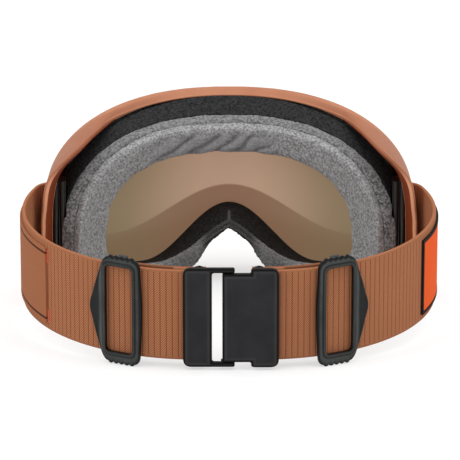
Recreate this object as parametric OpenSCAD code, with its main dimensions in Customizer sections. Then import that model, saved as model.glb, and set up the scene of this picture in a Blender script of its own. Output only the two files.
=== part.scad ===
// Snow goggles with a moulded frame, a double cylindrical lens, three layers of foam
// and an elastic strap that closes behind the head with a hook clip.
// X runs across the face, Y forward through the lens and Z up.
// The goggles stand on the flats under the cheeks of the frame and on the strap's sliders.

/* [Frame] */
// Height of the crown's crest above the table
crown_z = 85.2; // [82:0.2:88]
// Half width of the shell at its crest
crown_x = 80.8; // [79:0.2:82]
// Distance of the crest behind the lens seat
crest_back = 6; // [4:0.5:8]
// Fall of the crown from its crest to the front lip
front_drop = 3.8; // [3:0.2:5]
// Fall of the sides and cheeks from the crest to the front lip
front_fall = 1.4; // [0.8:0.2:2]
// Fall of the crown from its crest to the rear rim
rim_drop = 2.3; // [1.8:0.1:2.8]
// How much lower the rear rim is at its widest than the crest is
rim_low = 7; // [5:0.5:9]
// Height at which the frame is widest
side_z = 43; // [40:1:46]
// Half distance between the lowest points of the cheeks
cheek_x = 41; // [38:0.5:44]
// Height of the frame's outline over the bridge of the nose
nose_z = 26; // [24:0.5:28]
// Wall of the moulded frame
wall = 2.2; // [1.8:0.1:2.6]
// Radius of the lens seat about the upright wrap axis
seat_r = 102; // [98:1:108]
// How far the webbing's outer face stands out past the rim's oval where it turns in
wing_in = 2.96; // [2.6:0.04:3.2]
// Thickness of the flange that the lens seats on
flange_t = 3; // [2:0.2:4]
// Height of the front lip over the lens seat
lip_h = 3; // [2.4:0.2:4]
// Width of the front lip
lip_w = 2; // [1.6:0.1:2.4]
// Distance of the rear rim behind the lens seat at the middle
rim_back = 11; // [9:0.5:13]
// Cover of the wing behind the slot that the strap passes through
wing_cover = 5; // [3:0.5:7]
// How far the wing's shoulder stands out from the rim's oval
shoulder = 4.6; // [3:0.2:5.6]
// Height of the wing's shoulder
shoulder_z = 66; // [62:0.5:70]
// Width of the wing's rear face
wing_face = 2.8; // [2.2:0.1:3.2]
// Width of the crown's rear face
crown_face = 1.2; // [0.8:0.1:1.8]
// Extra thickness of the wing's wall round the strap's slot
slot_boss = 1.9; // [1:0.1:2.4]
// Number of vents in the crown
crown_vents = 7; // [3:2:9]
// Length of one crown vent
crown_vent_w = 10; // [6:0.5:12]
// Width of one crown vent
crown_vent_h = 2.2; // [1.6:0.2:2.4]
// Number of vents under each cheek
cheek_vents = 3; // [1:1:3]
// Width of one cheek vent
cheek_vent_w = 5; // [3:0.5:6]

/* [Lens] */
// Thickness of the outer lens
outer_lens_t = 1.5; // [1:0.1:2]
// Thickness of the inner lens
inner_lens_t = 1.1; // [0.8:0.1:1.4]
// Width of the seal between the lenses
seal_w = 3; // [2:0.2:4]
// Inset of the lens opening at the brow
open_brow = 4.4; // [4:0.2:5.4]
// Inset of the lens opening at the side
open_side = 7.8; // [7:0.2:9]
// Inset of the lens opening at the cheek
open_cheek = 6.4; // [6:0.2:7.4]
// Inset of the lens opening at the nose
open_nose = 5; // [4.4:0.2:6]

/* [Foam] */
// Distance from the lens seat back to the face at the middle
face_back = 29; // [27:0.5:31]
// Radius of the face about its upright wrap axis
face_r = 76; // [72:1:82]
// Height of the ridge of the fleece at the brow
ridge_z = 72.2; // [69:0.2:73]
// Half width of the ridge of the fleece
ridge_x = 65.8; // [64:0.2:67]
// Height of the face opening at the brow
opening_z = 60.1; // [57:0.2:62]
// Half width of the face opening
opening_x = 54; // [50:0.5:56]
// Height of the lower edge of the face opening
opening_low = 11.2; // [9:0.2:13]
// Thickness of the face fleece
fleece_t = 2.6; // [2:0.2:3.4]
// Thickness of the middle foam
middle_t = 4.4; // [3.6:0.2:5.2]
// Height of the fleece's crown over its edges
fleece_crown = 1; // [0.4:0.1:1.4]
// Thickness of the vent foam
vent_foam_t = 2.6; // [2:0.2:3]

/* [Strap] */
// Width of the webbing
strap_w = 40; // [36:1:44]
// Thickness of the webbing
strap_t = 1.6; // [1.2:0.1:1.8]
// Radius of each half of the strap loop, to its outer face
loop_r = 76; // [72:0.5:78]
// Half of the flat stretch behind the clip
flat_half = 13.2; // [12.8:0.2:14]
// Rise of the strap towards the frame
strap_tilt = 6; // [4:0.5:7]
// Angle along the loop at which the webbing turns in to the wing
turn_in = 20; // [18:0.5:22]
// Outer radius of the turn into the wing
turn_r = 9; // [8:0.5:10]
// Distance of the webbing's turn into the wing in front of the lens wrap axis
turn_ahead = 38.88; // [37:0.04:41]
// Length of the inner fold at the clip, as an angle along the loop
fold_angle = 8; // [6:0.5:9]
// Angle along the loop at which the right webbing bends when the clip opens
bend_angle = 12; // [11.5:0.5:12.5]

/* [Anchors] */
// Outer side of the anchors past the centre of the webbing's turn
anchor_out = 1.14; // [0.9:0.04:1.3]
// Width of one anchor across the goggles
anchor_w = 5.8; // [5:0.2:6.6]
// Depth of one anchor along the wing
anchor_d = 7.6; // [6.6:0.2:8]
// Width of the groove between the anchor's two ribs
anchor_groove = 0.9; // [0.6:0.1:1.2]

/* [Sliders] */
// Angle of the slider along the loop
slider_angle = 26.2; // [25:0.2:30]
// Height of the slider past each edge of the webbing
slider_over = 3.7; // [3.2:0.1:5]
// Thickness of the slider's plate
slider_t = 2.2; // [1.8:0.1:2.6]
// Width of the slider's window
window_w = 11.4; // [9:0.2:12]
// Reach of the thumb wing from the window's middle
thumb_reach = 13; // [12:0.2:14]
// Number of grip teeth on each end
grip_teeth = 5; // [3:1:6]

/* [Clip] */
// Height of both halves of the clip past each edge of the webbing
clip_over = 2; // [1.8:0.1:3]
// Thickness of the clip's plates
clip_t = 2.4; // [2:0.1:2.6]
// Outer end of the left plate
loop_end = 19.2; // [18.6:0.2:20]
// Outer end of the right plate
hook_end = 20.8; // [20:0.2:21.6]
// Edge of the see-through window next to the left plate
window_left = 7.1; // [6.7:0.1:7.3]
// Left edge of the hook
hook_edge = 2.8; // [2.6:0.1:3.2]
// Place where the hook plate steps out to its full height
hook_step = 9.2; // [8.6:0.2:9.6]
// Reach of the loop's arms past the middle
arm_reach = 2.4; // [2:0.2:3]
// Thickness of each arm
arm_t = 2; // [1.6:0.1:2.4]
// Radius of the bars that the webbing turns round
bar_r = 1.4; // [1.2:0.05:1.45]
// Radius of the cross bar that the hook holds
cross_r = 1.3; // [1.1:0.05:1.4]

/* [Patches] */
// Thickness of the woven patches
patch_t = 0.9; // [0.6:0.1:1.2]
// Length of the left patch along the strap, as an angle
left_patch_angle = 44; // [36:1:46]
// Length of the right patch along the strap, as an angle
right_patch_angle = 36; // [30:1:38]
// Margin between a patch and the webbing's edges
patch_margin = 3; // [2:0.2:5]
// Width of the border round the right patch
patch_border = 1.4; // [1:0.1:2]

/* [Hidden] */
$fn = 72;
// Clearance between soft pieces and what carries them
foam_gap = 0.3;
// Clearance between pieces that are fixed to each other
fixed_gap = 0.1;
// Clearance between the webbing and what it passes through
web_gap = 0.3;
// Clearance between the edge of the inner lens and the opening it fills
edge_gap = 0.5;

// Stations along half of every outline: brow to side, side to cheek, cheek to nose
upper_steps = 26;
lower_steps = 14;
nose_steps = 18;

// Centre of each half loop, and of the turn into the wing, in the strap's axes
loop_centre = [flat_half, loop_r];
turn_centre = loop_centre + (loop_r - turn_r) * [cos(turn_in), sin(turn_in)];
turn_end = 74;
wing_back = turn_centre[1] - wing_cover;
// Half width of the rim's oval over the wings, and outer side of the anchors
wing_x = turn_centre[0] + turn_r - wing_in;
anchor_x = turn_centre[0] + anchor_out;

// Heights of the slider and of the clip, and radius of the crest
slider_h = strap_w + 2 * slider_over;
clip_h = strap_w + 2 * clip_over;
crest_r = seat_r - crest_back;

// Wrap axis of the lens, with the part centred in Y on its own depth
loop_back = turn_centre[1] - turn_ahead;
hook_face = 3.4;
loop_front = -loop_back - hook_face * cos(strap_tilt) - (strap_w / 2 + clip_h / 2) * sin(strap_tilt);
lens_axis_y = -(loop_front + seat_r + lip_h) / 2;
loop_y = lens_axis_y - loop_back;
// The strap is raised so that the sliders' lower ends stand on the table
slider_low = strap_w / 2 - slider_h / 2;
loop_z = -slider_low * cos(strap_tilt);
seat_apex = lens_axis_y + seat_r;
rim_r = seat_r - crest_back + 1;
rim_axis_y = seat_apex - rim_back - rim_r;
face_apex = seat_apex - face_back;
face_axis_y = face_apex - face_r;
middle_apex = face_apex + fleece_t + middle_t;
middle_r = face_r + 11;
middle_axis_y = middle_apex - middle_r;
under_apex = face_apex + fleece_t;
under_r = face_r + 4;
under_axis_y = under_apex - under_r;
base_r = seat_r - flange_t - foam_gap;
lip_r = seat_r + lip_h;

// Outlines seen from the front. Each is named by its brow height, upper roundness, side half
// width and height, lower roundness, cheek half width and height, nose steepness and nose height
frame_outline = outline([crown_z, 2.52, crown_x, side_z, 2.8, cheek_x, -0.6, 1.15, nose_z]);
rim_oval = outline([crown_z - rim_drop, 2.35, wing_x, side_z - rim_low, 3,
                    cheek_x, -0.6, 1.2, nose_z - 0.6]);
lens_opening = outline([crown_z - front_drop - open_brow, 2.6, crown_x - open_side, side_z - 3, 2.3,
                        cheek_x - 1.5, open_cheek - 0.6, 1, nose_z + open_nose]);
lens_core = outline([opening_z, 2.8, opening_x, side_z - 12, 2.4,
                     cheek_x - 9, open_cheek + 9, 1.2, nose_z + open_nose + 10]);
foam_bed = outline([crown_z - 2.8, 2.15, min(wing_x, crown_x + 1.4) - wing_face - 3, side_z - 5, 2.3,
                    cheek_x - 1, wall + 1, 1.1, nose_z + wall]);
middle_outline = outline([ridge_z + 4, 2.55, ridge_x + 7.6, 28, 2.3, 36, 2, 1.3, nose_z - 0.4]);
ridge_outline = outline([ridge_z, 2.8, ridge_x, 24, 2.4, 31, 1.6, 1.4, nose_z - 0.4]);
face_opening = outline([opening_z, 2.8, opening_x, 24, 2.4, 32, opening_low, 1.5, nose_z + 0.6]);

// Half of an outline from the middle of the brow round to the middle of the nose
function half_outline(s) = [
    for (i = [0:upper_steps - 1])
        let (t = 90 * i / upper_steps)
        [s[2] * pow(sin(t), 2 / s[1]), s[3] + (s[0] - s[3]) * pow(cos(t), 2 / s[1])],
    for (i = [0:lower_steps - 1])
        let (t = 90 * i / lower_steps)
        [s[5] + (s[2] - s[5]) * pow(cos(t), 2 / s[4]), s[3] - (s[3] - s[6]) * pow(sin(t), 2 / s[4])],
    for (i = [0:nose_steps])
        let (u = 1 - i / nose_steps)
        [s[5] * pow(u, s[7]), s[6] + (s[8] - s[6]) * (1 + cos(180 * u)) / 2]
];

// A whole outline, its left half mirrored from its right
function outline(s) =
    let (half = half_outline(s), last = len(half) - 1)
    [for (p = half) p, for (i = [1:last - 1]) [-half[last - i][0], half[last - i][1]]];

// Points a share w of the way from outline a to outline b
function between(a, b, w) = [for (i = [0:len(a) - 1]) a[i] + (b[i] - a[i]) * w];

// Points moved d millimetres from outline a towards outline b, d one number or one for each point
function toward(a, b, d) = [
    for (i = [0:len(a) - 1])
        a[i] + (is_list(d) ? d[i] : d) * (b[i] - a[i]) / norm(b[i] - a[i])
];

// An outline laid on an upright cylinder of radius r about an axis at y
function wrapped(a, r, y) = [for (p = a) [p[0], y + sqrt(r * r - p[0] * p[0]), p[1]]];

// A smooth rise from 0 to 1 as v goes from a to b
function rise(v, a, b) = let (t = min(1, max(0, (v - a) / (b - a)))) t * t * (3 - 2 * t);

// The shell falls from its crest to this outline at the front lip
front_outline = toward(frame_outline, lens_opening, [
    for (p = frame_outline)
        front_fall + (front_drop - front_fall) * rise(p[1], side_z / 2, shoulder_z - wing_cover)
]);

// Outside and inside of the shell where it passes the lens seat's flange
lip_share = (seat_r - flange_t - crest_r) / (lip_r - 1.2 - crest_r);
flange_outline = between(frame_outline, front_outline, lip_share);
wall_outline = toward(flange_outline, lens_opening, wall);

// How much a point of the rim belongs to a wing that starts at x0 and is whole at x1
function wing_share(p, x0, x1) = rise(abs(p[0]), x0, x1) * rise(p[1], wall / 2, opening_low);

// The rim's outline, with a shoulder pushed out over each wing
rim_outline = [
    for (p = rim_oval)
        let (up = rise(p[1], side_z, shoulder_z) * (1 - rise(p[1], shoulder_z, crown_z - wing_cover)))
        [p[0] + sign(p[0]) * shoulder * up, p[1]]
];

// Width of the rim's rear face at each point: thin over the crown, wider in the wings and below
rim_face = [
    for (p = rim_outline)
        let (up = rise(p[1], opening_low, nose_z + open_nose))
        let (side = wing_share(p, wing_x * 0.44, wing_x * 0.75))
        crown_face + (wall - crown_face) * (1 - up) + (wing_face - crown_face) * side * up
];
rim_inner = toward(rim_outline, lens_opening, rim_face);

// Thickness of the wall at each point, thicker round the strap's slot
boss_wall = [
    for (i = [0:len(rim_outline) - 1])
        rim_face[i] + slot_boss * wing_share(rim_outline[i], wing_x * 0.73, wing_x * 0.925)
];

// Points of the rim, with the wings drawn back to a plane square to the strap. A point lies
// lift in front of the rim, and lift + wing_lift in front of it in the wings
function rim_points(a, lift, wing_lift = 0) = [
    for (p = a)
        let (share = wing_share(p, wing_x * 0.61, wing_x * 0.94))
        let (rim_y = rim_axis_y + sqrt(rim_r * rim_r - p[0] * p[0]))
        let (wing_y = loop_y + (wing_back - (p[1] - loop_z) * sin(strap_tilt)) / cos(strap_tilt))
        [p[0], rim_y + (wing_y - rim_y) * share + lift + wing_lift * share, p[1]]
];

// How far the inside of the slot's boss lies in front of the rim
slot_lift = wing_cover + 3.4;
// Depth of the vent foam behind the seat's flange
vent_foam_d = 6.2;
// Inside of the shell at the lens seat's flange, and at the rim a wall's thickness inside the
// skin that runs from the rim to the crest. The wall's line is given d behind the flange
wall_front = wrapped(wall_outline, seat_r - flange_t, lens_axis_y);
crest_rear = wrapped(between(frame_outline, rim_outline, 0.18), crest_r - 2, lens_axis_y);
wall_rear = [
    for (i = [0:len(rim_outline) - 1])
        let (a = rim_points([rim_outline[i]], 0.8)[0], b = crest_rear[i])
        let (y = rim_points([rim_outline[i]], 1.6, slot_lift)[0][1])
        let (skin = a + (b - a) * min(1, max(0, (y - a[1]) / (b[1] - a[1]))))
        let (flat = [skin[0], skin[2]])
        let (moved = flat + boss_wall[i] * (lens_opening[i] - flat) / norm(lens_opening[i] - flat))
        [moved[0], y, moved[1]]
];
function wall_line(d) = [
    for (i = [0:len(wall_front) - 1])
        let (a = wall_front[i], b = wall_rear[i])
        a + (b - a) * d / (a[1] - b[1])
];

// Points of the wall pulled in by d towards the lens opening, square to Y, and by no more than
// the share most of the band between the two, which is narrow over the nose
function pull_in(points, d, most = 0.66) = [
    for (i = [0:len(points) - 1])
        let (flat = [points[i][0], points[i][2]])
        let (band = lens_opening[i] - flat)
        let (moved = flat + band * min(d / norm(band), most))
        [moved[0], points[i][1], moved[1]]
];

// A closed ring through a list of loops of points
module ring_loft(loops) {
    n = len(loops[0]);
    m = len(loops);
    polyhedron(
        points = [for (j = [0:m - 1]) for (p = loops[j]) p],
        faces = [
            for (j = [0:m - 1]) for (i = [0:n - 1])
                let (a = j * n + i, b = j * n + (i + 1) % n)
                let (c = ((j + 1) % m) * n + (i + 1) % n, d = ((j + 1) % m) * n + i)
                each [[a, b, c], [a, c, d]]
        ],
        convexity = 8);
}

// A strip of a ring between two stations, with flat ends
module strip_loft(loops, first, last) {
    n = last - first + 1;
    m = len(loops);
    polyhedron(
        points = [
            for (j = [0:m - 1]) for (i = [first:last])
                loops[j][(i + len(loops[j])) % len(loops[j])]
        ],
        faces = [
            for (j = [0:m - 1]) for (i = [0:n - 2])
                let (a = j * n + i, c = ((j + 1) % m) * n + i + 1, d = ((j + 1) % m) * n + i)
                each [[a, a + 1, c], [a, c, d]],
            [for (j = [0:m - 1]) j * n],
            [for (j = [m - 1:-1:0]) j * n + n - 1]
        ],
        convexity = 6);
}

// A sheet of the given outline, bent about the lens axis between two radii
module lens_sheet(r_in, r_out) {
    intersection() {
        translate([0, lens_axis_y, -2])
            difference() {
                cylinder(r = r_out, h = crown_z + 6, $fn = 180);
                translate([0, 0, -1])
                    cylinder(r = r_in, h = crown_z + 8, $fn = 180);
            }
        translate([0, seat_apex + 10, 0])
            rotate([90, 0, 0])
                linear_extrude(height = seat_r)
                    children();
    }
}

// Height of the base foam's pocket past the webbing's edges
pocket_over = 3;

// Things in the strap's own axes: outer face of the webbing at y 0, lower edge at z 0
module on_strap() {
    translate([0, loop_y, loop_z])
        rotate([strap_tilt, 0, 0])
            children();
}

// A curved band of a patch on the right half loop, from angle a to angle b
module loop_band(r_out, t, z, h, a, b) {
    translate([flat_half, loop_r, z])
        rotate([0, 0, a - 90])
            rotate_extrude(angle = b - a, $fn = 180)
                translate([r_out - t, 0])
                    square([t, h]);
}

// Points of an arc about c, from angle a to angle b
function arc(c, r, a, b, step) =
    let (n = ceil(abs(b - a) / step))
    [for (i = [0:n]) let (t = a + (b - a) * i / n) [c[0] + r * cos(t), c[1] + r * sin(t)]];

// Unit vector square to the path at its point i
function square_to(path, i) =
    let (d = path[min(i + 1, len(path) - 1)] - path[max(i - 1, 0)])
    [-d[1], d[0]] / norm(d);

// Webbing on edge along a path of points in plan
module webbing(path) {
    last = len(path) - 1;
    linear_extrude(height = strap_w)
        polygon([
            for (i = [0:last]) path[i] + square_to(path, i) * strap_t / 2,
            for (i = [0:last]) path[last - i] - square_to(path, last - i) * strap_t / 2
        ]);
}

// Straight run of webbing that ends inside the anchor
anchor_run = 4.2;
// Radii of the fold round a bar, and the place of the clip's bars along X
fold_in = bar_r + web_gap;
fold_out = fold_in + strap_t;
clip_bar_x = 12.4;
// Middle radii of the webbing's layers: outer, fold, and the return under the fold
outer_r = loop_r - strap_t / 2;
inner_r = outer_r - 2 * fold_out + strap_t;
return_r = inner_r - strap_t - web_gap;
flap_r = outer_r - strap_t - web_gap;
slider_bar_r = (flap_r + return_r) / 2;
return_end = -3;
flap_angle = 5;

// Path of the webbing from the anchor round the loop to an angle along it
function frame_path(a) = concat(
    [turn_centre + (turn_r - strap_t / 2) * [cos(turn_end), sin(turn_end)]
     + anchor_run * [-sin(turn_end), cos(turn_end)]],
    arc(turn_centre, turn_r - strap_t / 2, turn_end, turn_in + 2, 6),
    arc(loop_centre, outer_r, turn_in, a - 90, 2.5));

// Path from an angle along the loop to the clip's bar, round it and back inside
function clip_path(a) = concat(
    arc(loop_centre, outer_r, a - 90, -90, 2.5),
    arc([clip_bar_x, fold_out], fold_out - strap_t / 2, -90, -270, 12),
    arc(loop_centre, inner_r, -90, fold_angle - 90, 2.5));

// Path of the return: under the fold, round the slider's bar and into its sewn flap
function return_path() = concat(
    arc(loop_centre, return_r, return_end - 90, slider_angle - 90, 2.5),
    arc(loop_centre + slider_bar_r * [sin(slider_angle), -cos(slider_angle)],
        (flap_r - return_r) / 2, slider_angle + 80, slider_angle - 80, 12),
    arc(loop_centre, flap_r, slider_angle - 90, slider_angle - flap_angle - 90, 2.5));

// Angle of half the gap between the two webbing pieces at the bend
bend_gap = asin(web_gap / 2 / loop_r);

module strap_left() {
    color([0.60, 0.39, 0.28])
        mirror([1, 0, 0])
            on_strap()
                webbing(concat(frame_path(bend_angle + 1), clip_path(bend_angle)));
}

module strap_right() {
    color([0.60, 0.39, 0.28])
        on_strap()
            webbing(frame_path(bend_angle + bend_gap));
}

module strap_clip_side() {
    color([0.60, 0.39, 0.28])
        on_strap()
            webbing(clip_path(bend_angle - bend_gap));
}

module strap_return() {
    color([0.47, 0.29, 0.20])
        on_strap()
            webbing(return_path());
}

// A band of clear space beside the webbing and round its turn into the wing
module wing_slot() {
    translate([loop_centre[0], loop_centre[1], -web_gap])
        rotate_extrude(angle = turn_in, $fn = 180)
            translate([loop_r - strap_t - web_gap, 0])
                square([strap_t + 2 * web_gap, strap_w + 2 * web_gap]);
    translate([turn_centre[0], turn_centre[1], -web_gap])
        rotate([0, 0, turn_in])
            rotate_extrude(angle = turn_end + 14 - turn_in, $fn = 120)
                translate([turn_r - strap_t - web_gap, 0])
                    square([strap_t + 2 * web_gap, strap_w + 2 * web_gap]);
}

// Outline of the slider's plate with the window's middle at 0, the clip towards -X
module slider_shape() {
    top = slider_h / 2;
    near = window_w / 2 + 3.3;
    difference() {
        union() {
            offset(r = 1.2, $fn = 24)
                offset(delta = -1.2)
                    polygon([
                        [-near, -top], [near - 2.4, -top], [near - 1, 3 - top],
                        [thumb_reach, -2], [thumb_reach, 2], [near - 1, top - 3],
                        [near - 2.4, top], [-near, top], [-near - 1.6, top - 2.4],
                        [-near - 2.8, 0], [-near - 1.6, 2.4 - top]
                    ]);
            for (i = [0:grip_teeth - 1]) for (e = [-1, 1])
                translate([-near + 2.2 + i * (2 * near - 6) / (grip_teeth - 1), e * (top - 0.1)])
                    circle(r = 0.75, $fn = 16);
        }
        offset(r = 1.4, $fn = 24)
            square([window_w - 2.8, strap_w - 3.4], center = true);
    }
}

module slider() {
    post_w = 2 * bar_r + 1.2;
    post_z = strap_w / 2 + web_gap;
    color([0.19, 0.20, 0.20])
        on_strap()
            translate([flat_half, loop_r, strap_w / 2])
                rotate([0, 0, slider_angle])
                    difference() {
                        union() {
                            translate([0, -loop_r - web_gap, 0])
                                rotate([90, 0, 0])
                                    linear_extrude(height = slider_t)
                                        slider_shape();
                            translate([0, -slider_bar_r, -slider_h / 2 + 0.6])
                                cylinder(r = bar_r, h = slider_h - 1.2, $fn = 48);
                            for (e = [-1, 1])
                                translate([-post_w / 2, -loop_r - web_gap - 0.2,
                                           e > 0 ? post_z : -slider_h / 2 + 0.6])
                                    cube([post_w, loop_r - slider_bar_r + web_gap + 0.2 + bar_r,
                                          slider_h / 2 - 0.6 - post_z]);
                        }
                        // The thumb wing is dished so that a finger can lift it
                        translate([thumb_reach + 1, -loop_r - web_gap - slider_t - 9.4, -12])
                            cylinder(r = 10.4, h = 24, $fn = 96);
                    }
}

// A rounded plate in X and Z, from x0 to x1 and z0 to z1, between y0 and y1
module plate(x0, x1, z0, z1, y0, y1, r) {
    translate([0, y1, 0])
        rotate([90, 0, 0])
            linear_extrude(height = y1 - y0)
                translate([x0 + r, z0 + r])
                    offset(r = r, $fn = 32)
                        square([x1 - x0 - 2 * r, z1 - z0 - 2 * r]);
}

// Levels of the clip across the webbing
clip_low = strap_w / 2 - clip_h / 2;
clip_top = strap_w / 2 + clip_h / 2;
loop_face = hook_face - 0.4;
cheek_t = -clip_low - web_gap;

// The bar that the webbing turns round, with its two cheeks up to the plate
module webbing_bar(x, y_plate) {
    translate([x, fold_out, clip_low])
        cylinder(r = bar_r, h = clip_h, $fn = 48);
    for (z = [clip_low, clip_top - cheek_t])
        translate([x - bar_r - 0.6, y_plate - 0.2, z])
            cube([2 * bar_r + 1.2, fold_out - y_plate + 0.2 + bar_r, cheek_t]);
}

module clip_loop() {
    plate_y = -loop_face + clip_t;
    cross_y = -hook_face + clip_t + cross_r + 0.25;
    color([0.2, 0.2, 0.21])
        on_strap()
            union() {
                plate(-loop_end, -window_left, clip_low, clip_top, -loop_face, plate_y, 2.4);
                for (z = [clip_low, clip_top - arm_t])
                    translate([-window_left - 3, -loop_face, z])
                        cube([window_left + 3 + arm_reach, loop_face + cross_y + cross_r, arm_t]);
                translate([-0.4, cross_y, clip_low + 0.4])
                    cylinder(r = cross_r, h = clip_h - 0.8, $fn = 48);
                mirror([1, 0, 0])
                    webbing_bar(clip_bar_x, plate_y);
            }
}

module clip_hook() {
    plate_y = -hook_face + clip_t;
    lip = 0.9;
    cross_y = plate_y + cross_r + 0.25;
    narrow_low = clip_low + arm_t + web_gap;
    narrow_top = clip_top - arm_t - web_gap;
    color([0.22, 0.22, 0.23])
        on_strap() {
            plate(hook_step, hook_end, clip_low, clip_top, -hook_face, plate_y, 2.4);
            translate([hook_step, -hook_face, narrow_low])
                mirror([1, 0, 0])
                    cube([hook_step + hook_edge, clip_t, narrow_top - narrow_low]);
            translate([hook_step, -hook_face, narrow_low])
                cube([3, clip_t, narrow_top - narrow_low]);
            translate([-hook_edge, -hook_face, narrow_low])
                cube([lip, cross_y + hook_face + cross_r, narrow_top - narrow_low]);
            webbing_bar(clip_bar_x, plate_y);
        }
}

// Rear face of the anchor's block, and the height of the block past the webbing's edges
anchor_y = turn_centre[1] + turn_r + 1.4 - anchor_d / 2;
anchor_over = 1;

// Block of an anchor, grown by a clearance
module anchor_block(c) {
    translate([anchor_x - anchor_w - c, anchor_y - c, -anchor_over - c])
        cube([anchor_w + 2 * c, anchor_d - 1 + 2 * c, strap_w + 2 * anchor_over + 2 * c]);
}

// Two round ribs on the rear of an anchor's block, grown by a clearance
module anchor_ribs(c) {
    for (x = [anchor_x - anchor_w / 4, anchor_x - 3 * anchor_w / 4])
        translate([x, anchor_y, -anchor_over - c])
            cylinder(d = (anchor_w - anchor_groove) / 2 + 2 * c,
                     h = strap_w + 2 * anchor_over + 2 * c, $fn = 32);
}

// One anchor: two ribs on a block that holds the webbing's end
module anchor() {
    color([0.07, 0.07, 0.07])
        on_strap()
            difference() {
                union() {
                    anchor_block(0);
                    anchor_ribs(0);
                }
                translate([turn_centre[0], turn_centre[1], -fixed_gap])
                    rotate([0, 0, turn_end])
                        translate([turn_r - strap_t - fixed_gap, -2, 0])
                            cube([strap_t + 2 * fixed_gap, anchor_run + 2 + fixed_gap,
                                  strap_w + 2 * fixed_gap]);
            }
}

// Space kept free in the base foam for the anchor and its webbing
module anchor_pocket() {
    on_strap()
        translate([anchor_x - anchor_w - 0.5, wing_back - 16, -pocket_over])
            cube([20, anchor_y + anchor_d + 2 - wing_back + 16, strap_w + 2 * pocket_over]);
}

module frame() {
    color([0.75, 0.53, 0.42])
        difference() {
            ring_loft([
                wrapped(toward(front_outline, lens_opening, lip_w - 0.3), lip_r, lens_axis_y),
                wrapped(toward(front_outline, lens_opening, 0.4), lip_r, lens_axis_y),
                wrapped(front_outline, lip_r - 1.2, lens_axis_y),
                wrapped(between(frame_outline, front_outline, 0.12), crest_r + 2.2, lens_axis_y),
                wrapped(frame_outline, crest_r, lens_axis_y),
                crest_rear,
                rim_points(rim_outline, 0.8),
                rim_points(toward(rim_outline, lens_opening, 0.4), 0),
                rim_points(rim_inner, 0.4),
                wall_rear,
                wall_front,
                wrapped(lens_opening, seat_r - flange_t, lens_axis_y),
                wrapped(lens_opening, seat_r, lens_axis_y),
                wrapped(toward(front_outline, lens_opening, lip_w), seat_r, lens_axis_y)
            ]);
            // Flats under the cheeks
            translate([-150, -150, -20])
                cube([300, 300, 20]);
            // Slots that the webbing passes through into the wings, and seats for the anchors
            for (m = [0, 1])
                mirror([m, 0, 0])
                    on_strap() {
                        wing_slot();
                        anchor_block(fixed_gap);
                        anchor_ribs(fixed_gap);
                    }
            crown_vent_holes();
            cheek_vent_holes();
        }
}

// Vents through the crown's front slope, just behind the lens seat's flange
module crown_vent_holes() {
    for (i = [0:crown_vents - 1])
        translate([0, lens_axis_y, shoulder_z])
            rotate([0, 0, (i - (crown_vents - 1) / 2) * 8])
                translate([-crown_vent_w / 2, seat_r - flange_t - crown_vent_h - 0.2, 0])
                    cube([crown_vent_w, crown_vent_h, crown_z - side_z]);
}

// Vents through the floor of the frame under the cheeks
module cheek_vent_holes() {
    for (m = [0, 1]) for (i = [0:cheek_vents - 1])
        mirror([m, 0, 0])
            translate([0, lens_axis_y, -10])
                rotate([0, 0, -18 - i * 5])
                    translate([-cheek_vent_w / 2, seat_r - flange_t - vent_foam_d + 0.8, 0])
                        cube([cheek_vent_w, vent_foam_d - 2.2, 16]);
}

module outer_lens() {
    color([0.72, 0.45, 0.25, 0.6])
        lens_sheet(seat_r + foam_gap, seat_r + foam_gap + outer_lens_t)
            polygon(toward(front_outline, lens_opening, lip_w + foam_gap));
}

module inner_lens() {
    color([0.78, 0.66, 0.52, 0.4])
        lens_sheet(seat_r - flange_t - foam_gap - inner_lens_t, seat_r - flange_t - foam_gap)
            polygon(toward(lens_opening, lens_core, edge_gap));
}

module lens_seal() {
    color([0.12, 0.12, 0.12])
        lens_sheet(seat_r - flange_t - foam_gap + fixed_gap, seat_r + foam_gap - fixed_gap)
            difference() {
                polygon(toward(lens_opening, lens_core, edge_gap));
                polygon(toward(lens_opening, lens_core, edge_gap + seal_w));
            }
}

// Foam behind the vents, between the frame's wall and the base foam
module vent_strip(first, last) {
    near = wall_line(foam_gap);
    far = wall_line(vent_foam_d);
    color([0.1, 0.1, 0.1])
        strip_loft([
            pull_in(near, foam_gap),
            pull_in(far, foam_gap),
            pull_in(far, foam_gap + vent_foam_t),
            pull_in(near, foam_gap + vent_foam_t)
        ], first, last);
}

module vent_foam_top() {
    reach = floor(upper_steps * 0.55);
    vent_strip(-reach, reach);
}

module vent_foam_bottom() {
    cheek = upper_steps + lower_steps;
    count = len(frame_outline);
    vent_strip(cheek - 4, cheek + 6);
    vent_strip(count - cheek - 6, count - cheek + 4);
}

module base_foam() {
    inset = 2 * foam_gap + vent_foam_t;
    inner_rear = between(lens_opening, face_opening, 0.73);
    color([0.13, 0.13, 0.13])
        difference() {
            ring_loft([
                pull_in(wall_line(foam_gap), inset, 0.75),
                pull_in(wall_line(vent_foam_d + foam_gap), inset, 0.75),
                // The foam steps out behind the vents and lies over the crown's thin rear face
                wrapped(toward(foam_bed, lens_opening, 1.2), rim_r, rim_axis_y + 0.6),
                wrapped(foam_bed, rim_r, rim_axis_y - foam_gap),
                wrapped(toward(foam_bed, lens_opening, 0.6), rim_r, rim_axis_y - 1.4),
                wrapped(middle_outline, middle_r, middle_axis_y + foam_gap + fixed_gap),
                wrapped(inner_rear, middle_r, middle_axis_y + foam_gap + fixed_gap),
                wrapped(lens_opening, base_r - inner_lens_t - 1.6, lens_axis_y),
                wrapped(toward(lens_opening, frame_outline, 0.4), base_r, lens_axis_y)
            ]);
            for (m = [0, 1])
                mirror([m, 0, 0])
                    anchor_pocket();
        }
}

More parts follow.
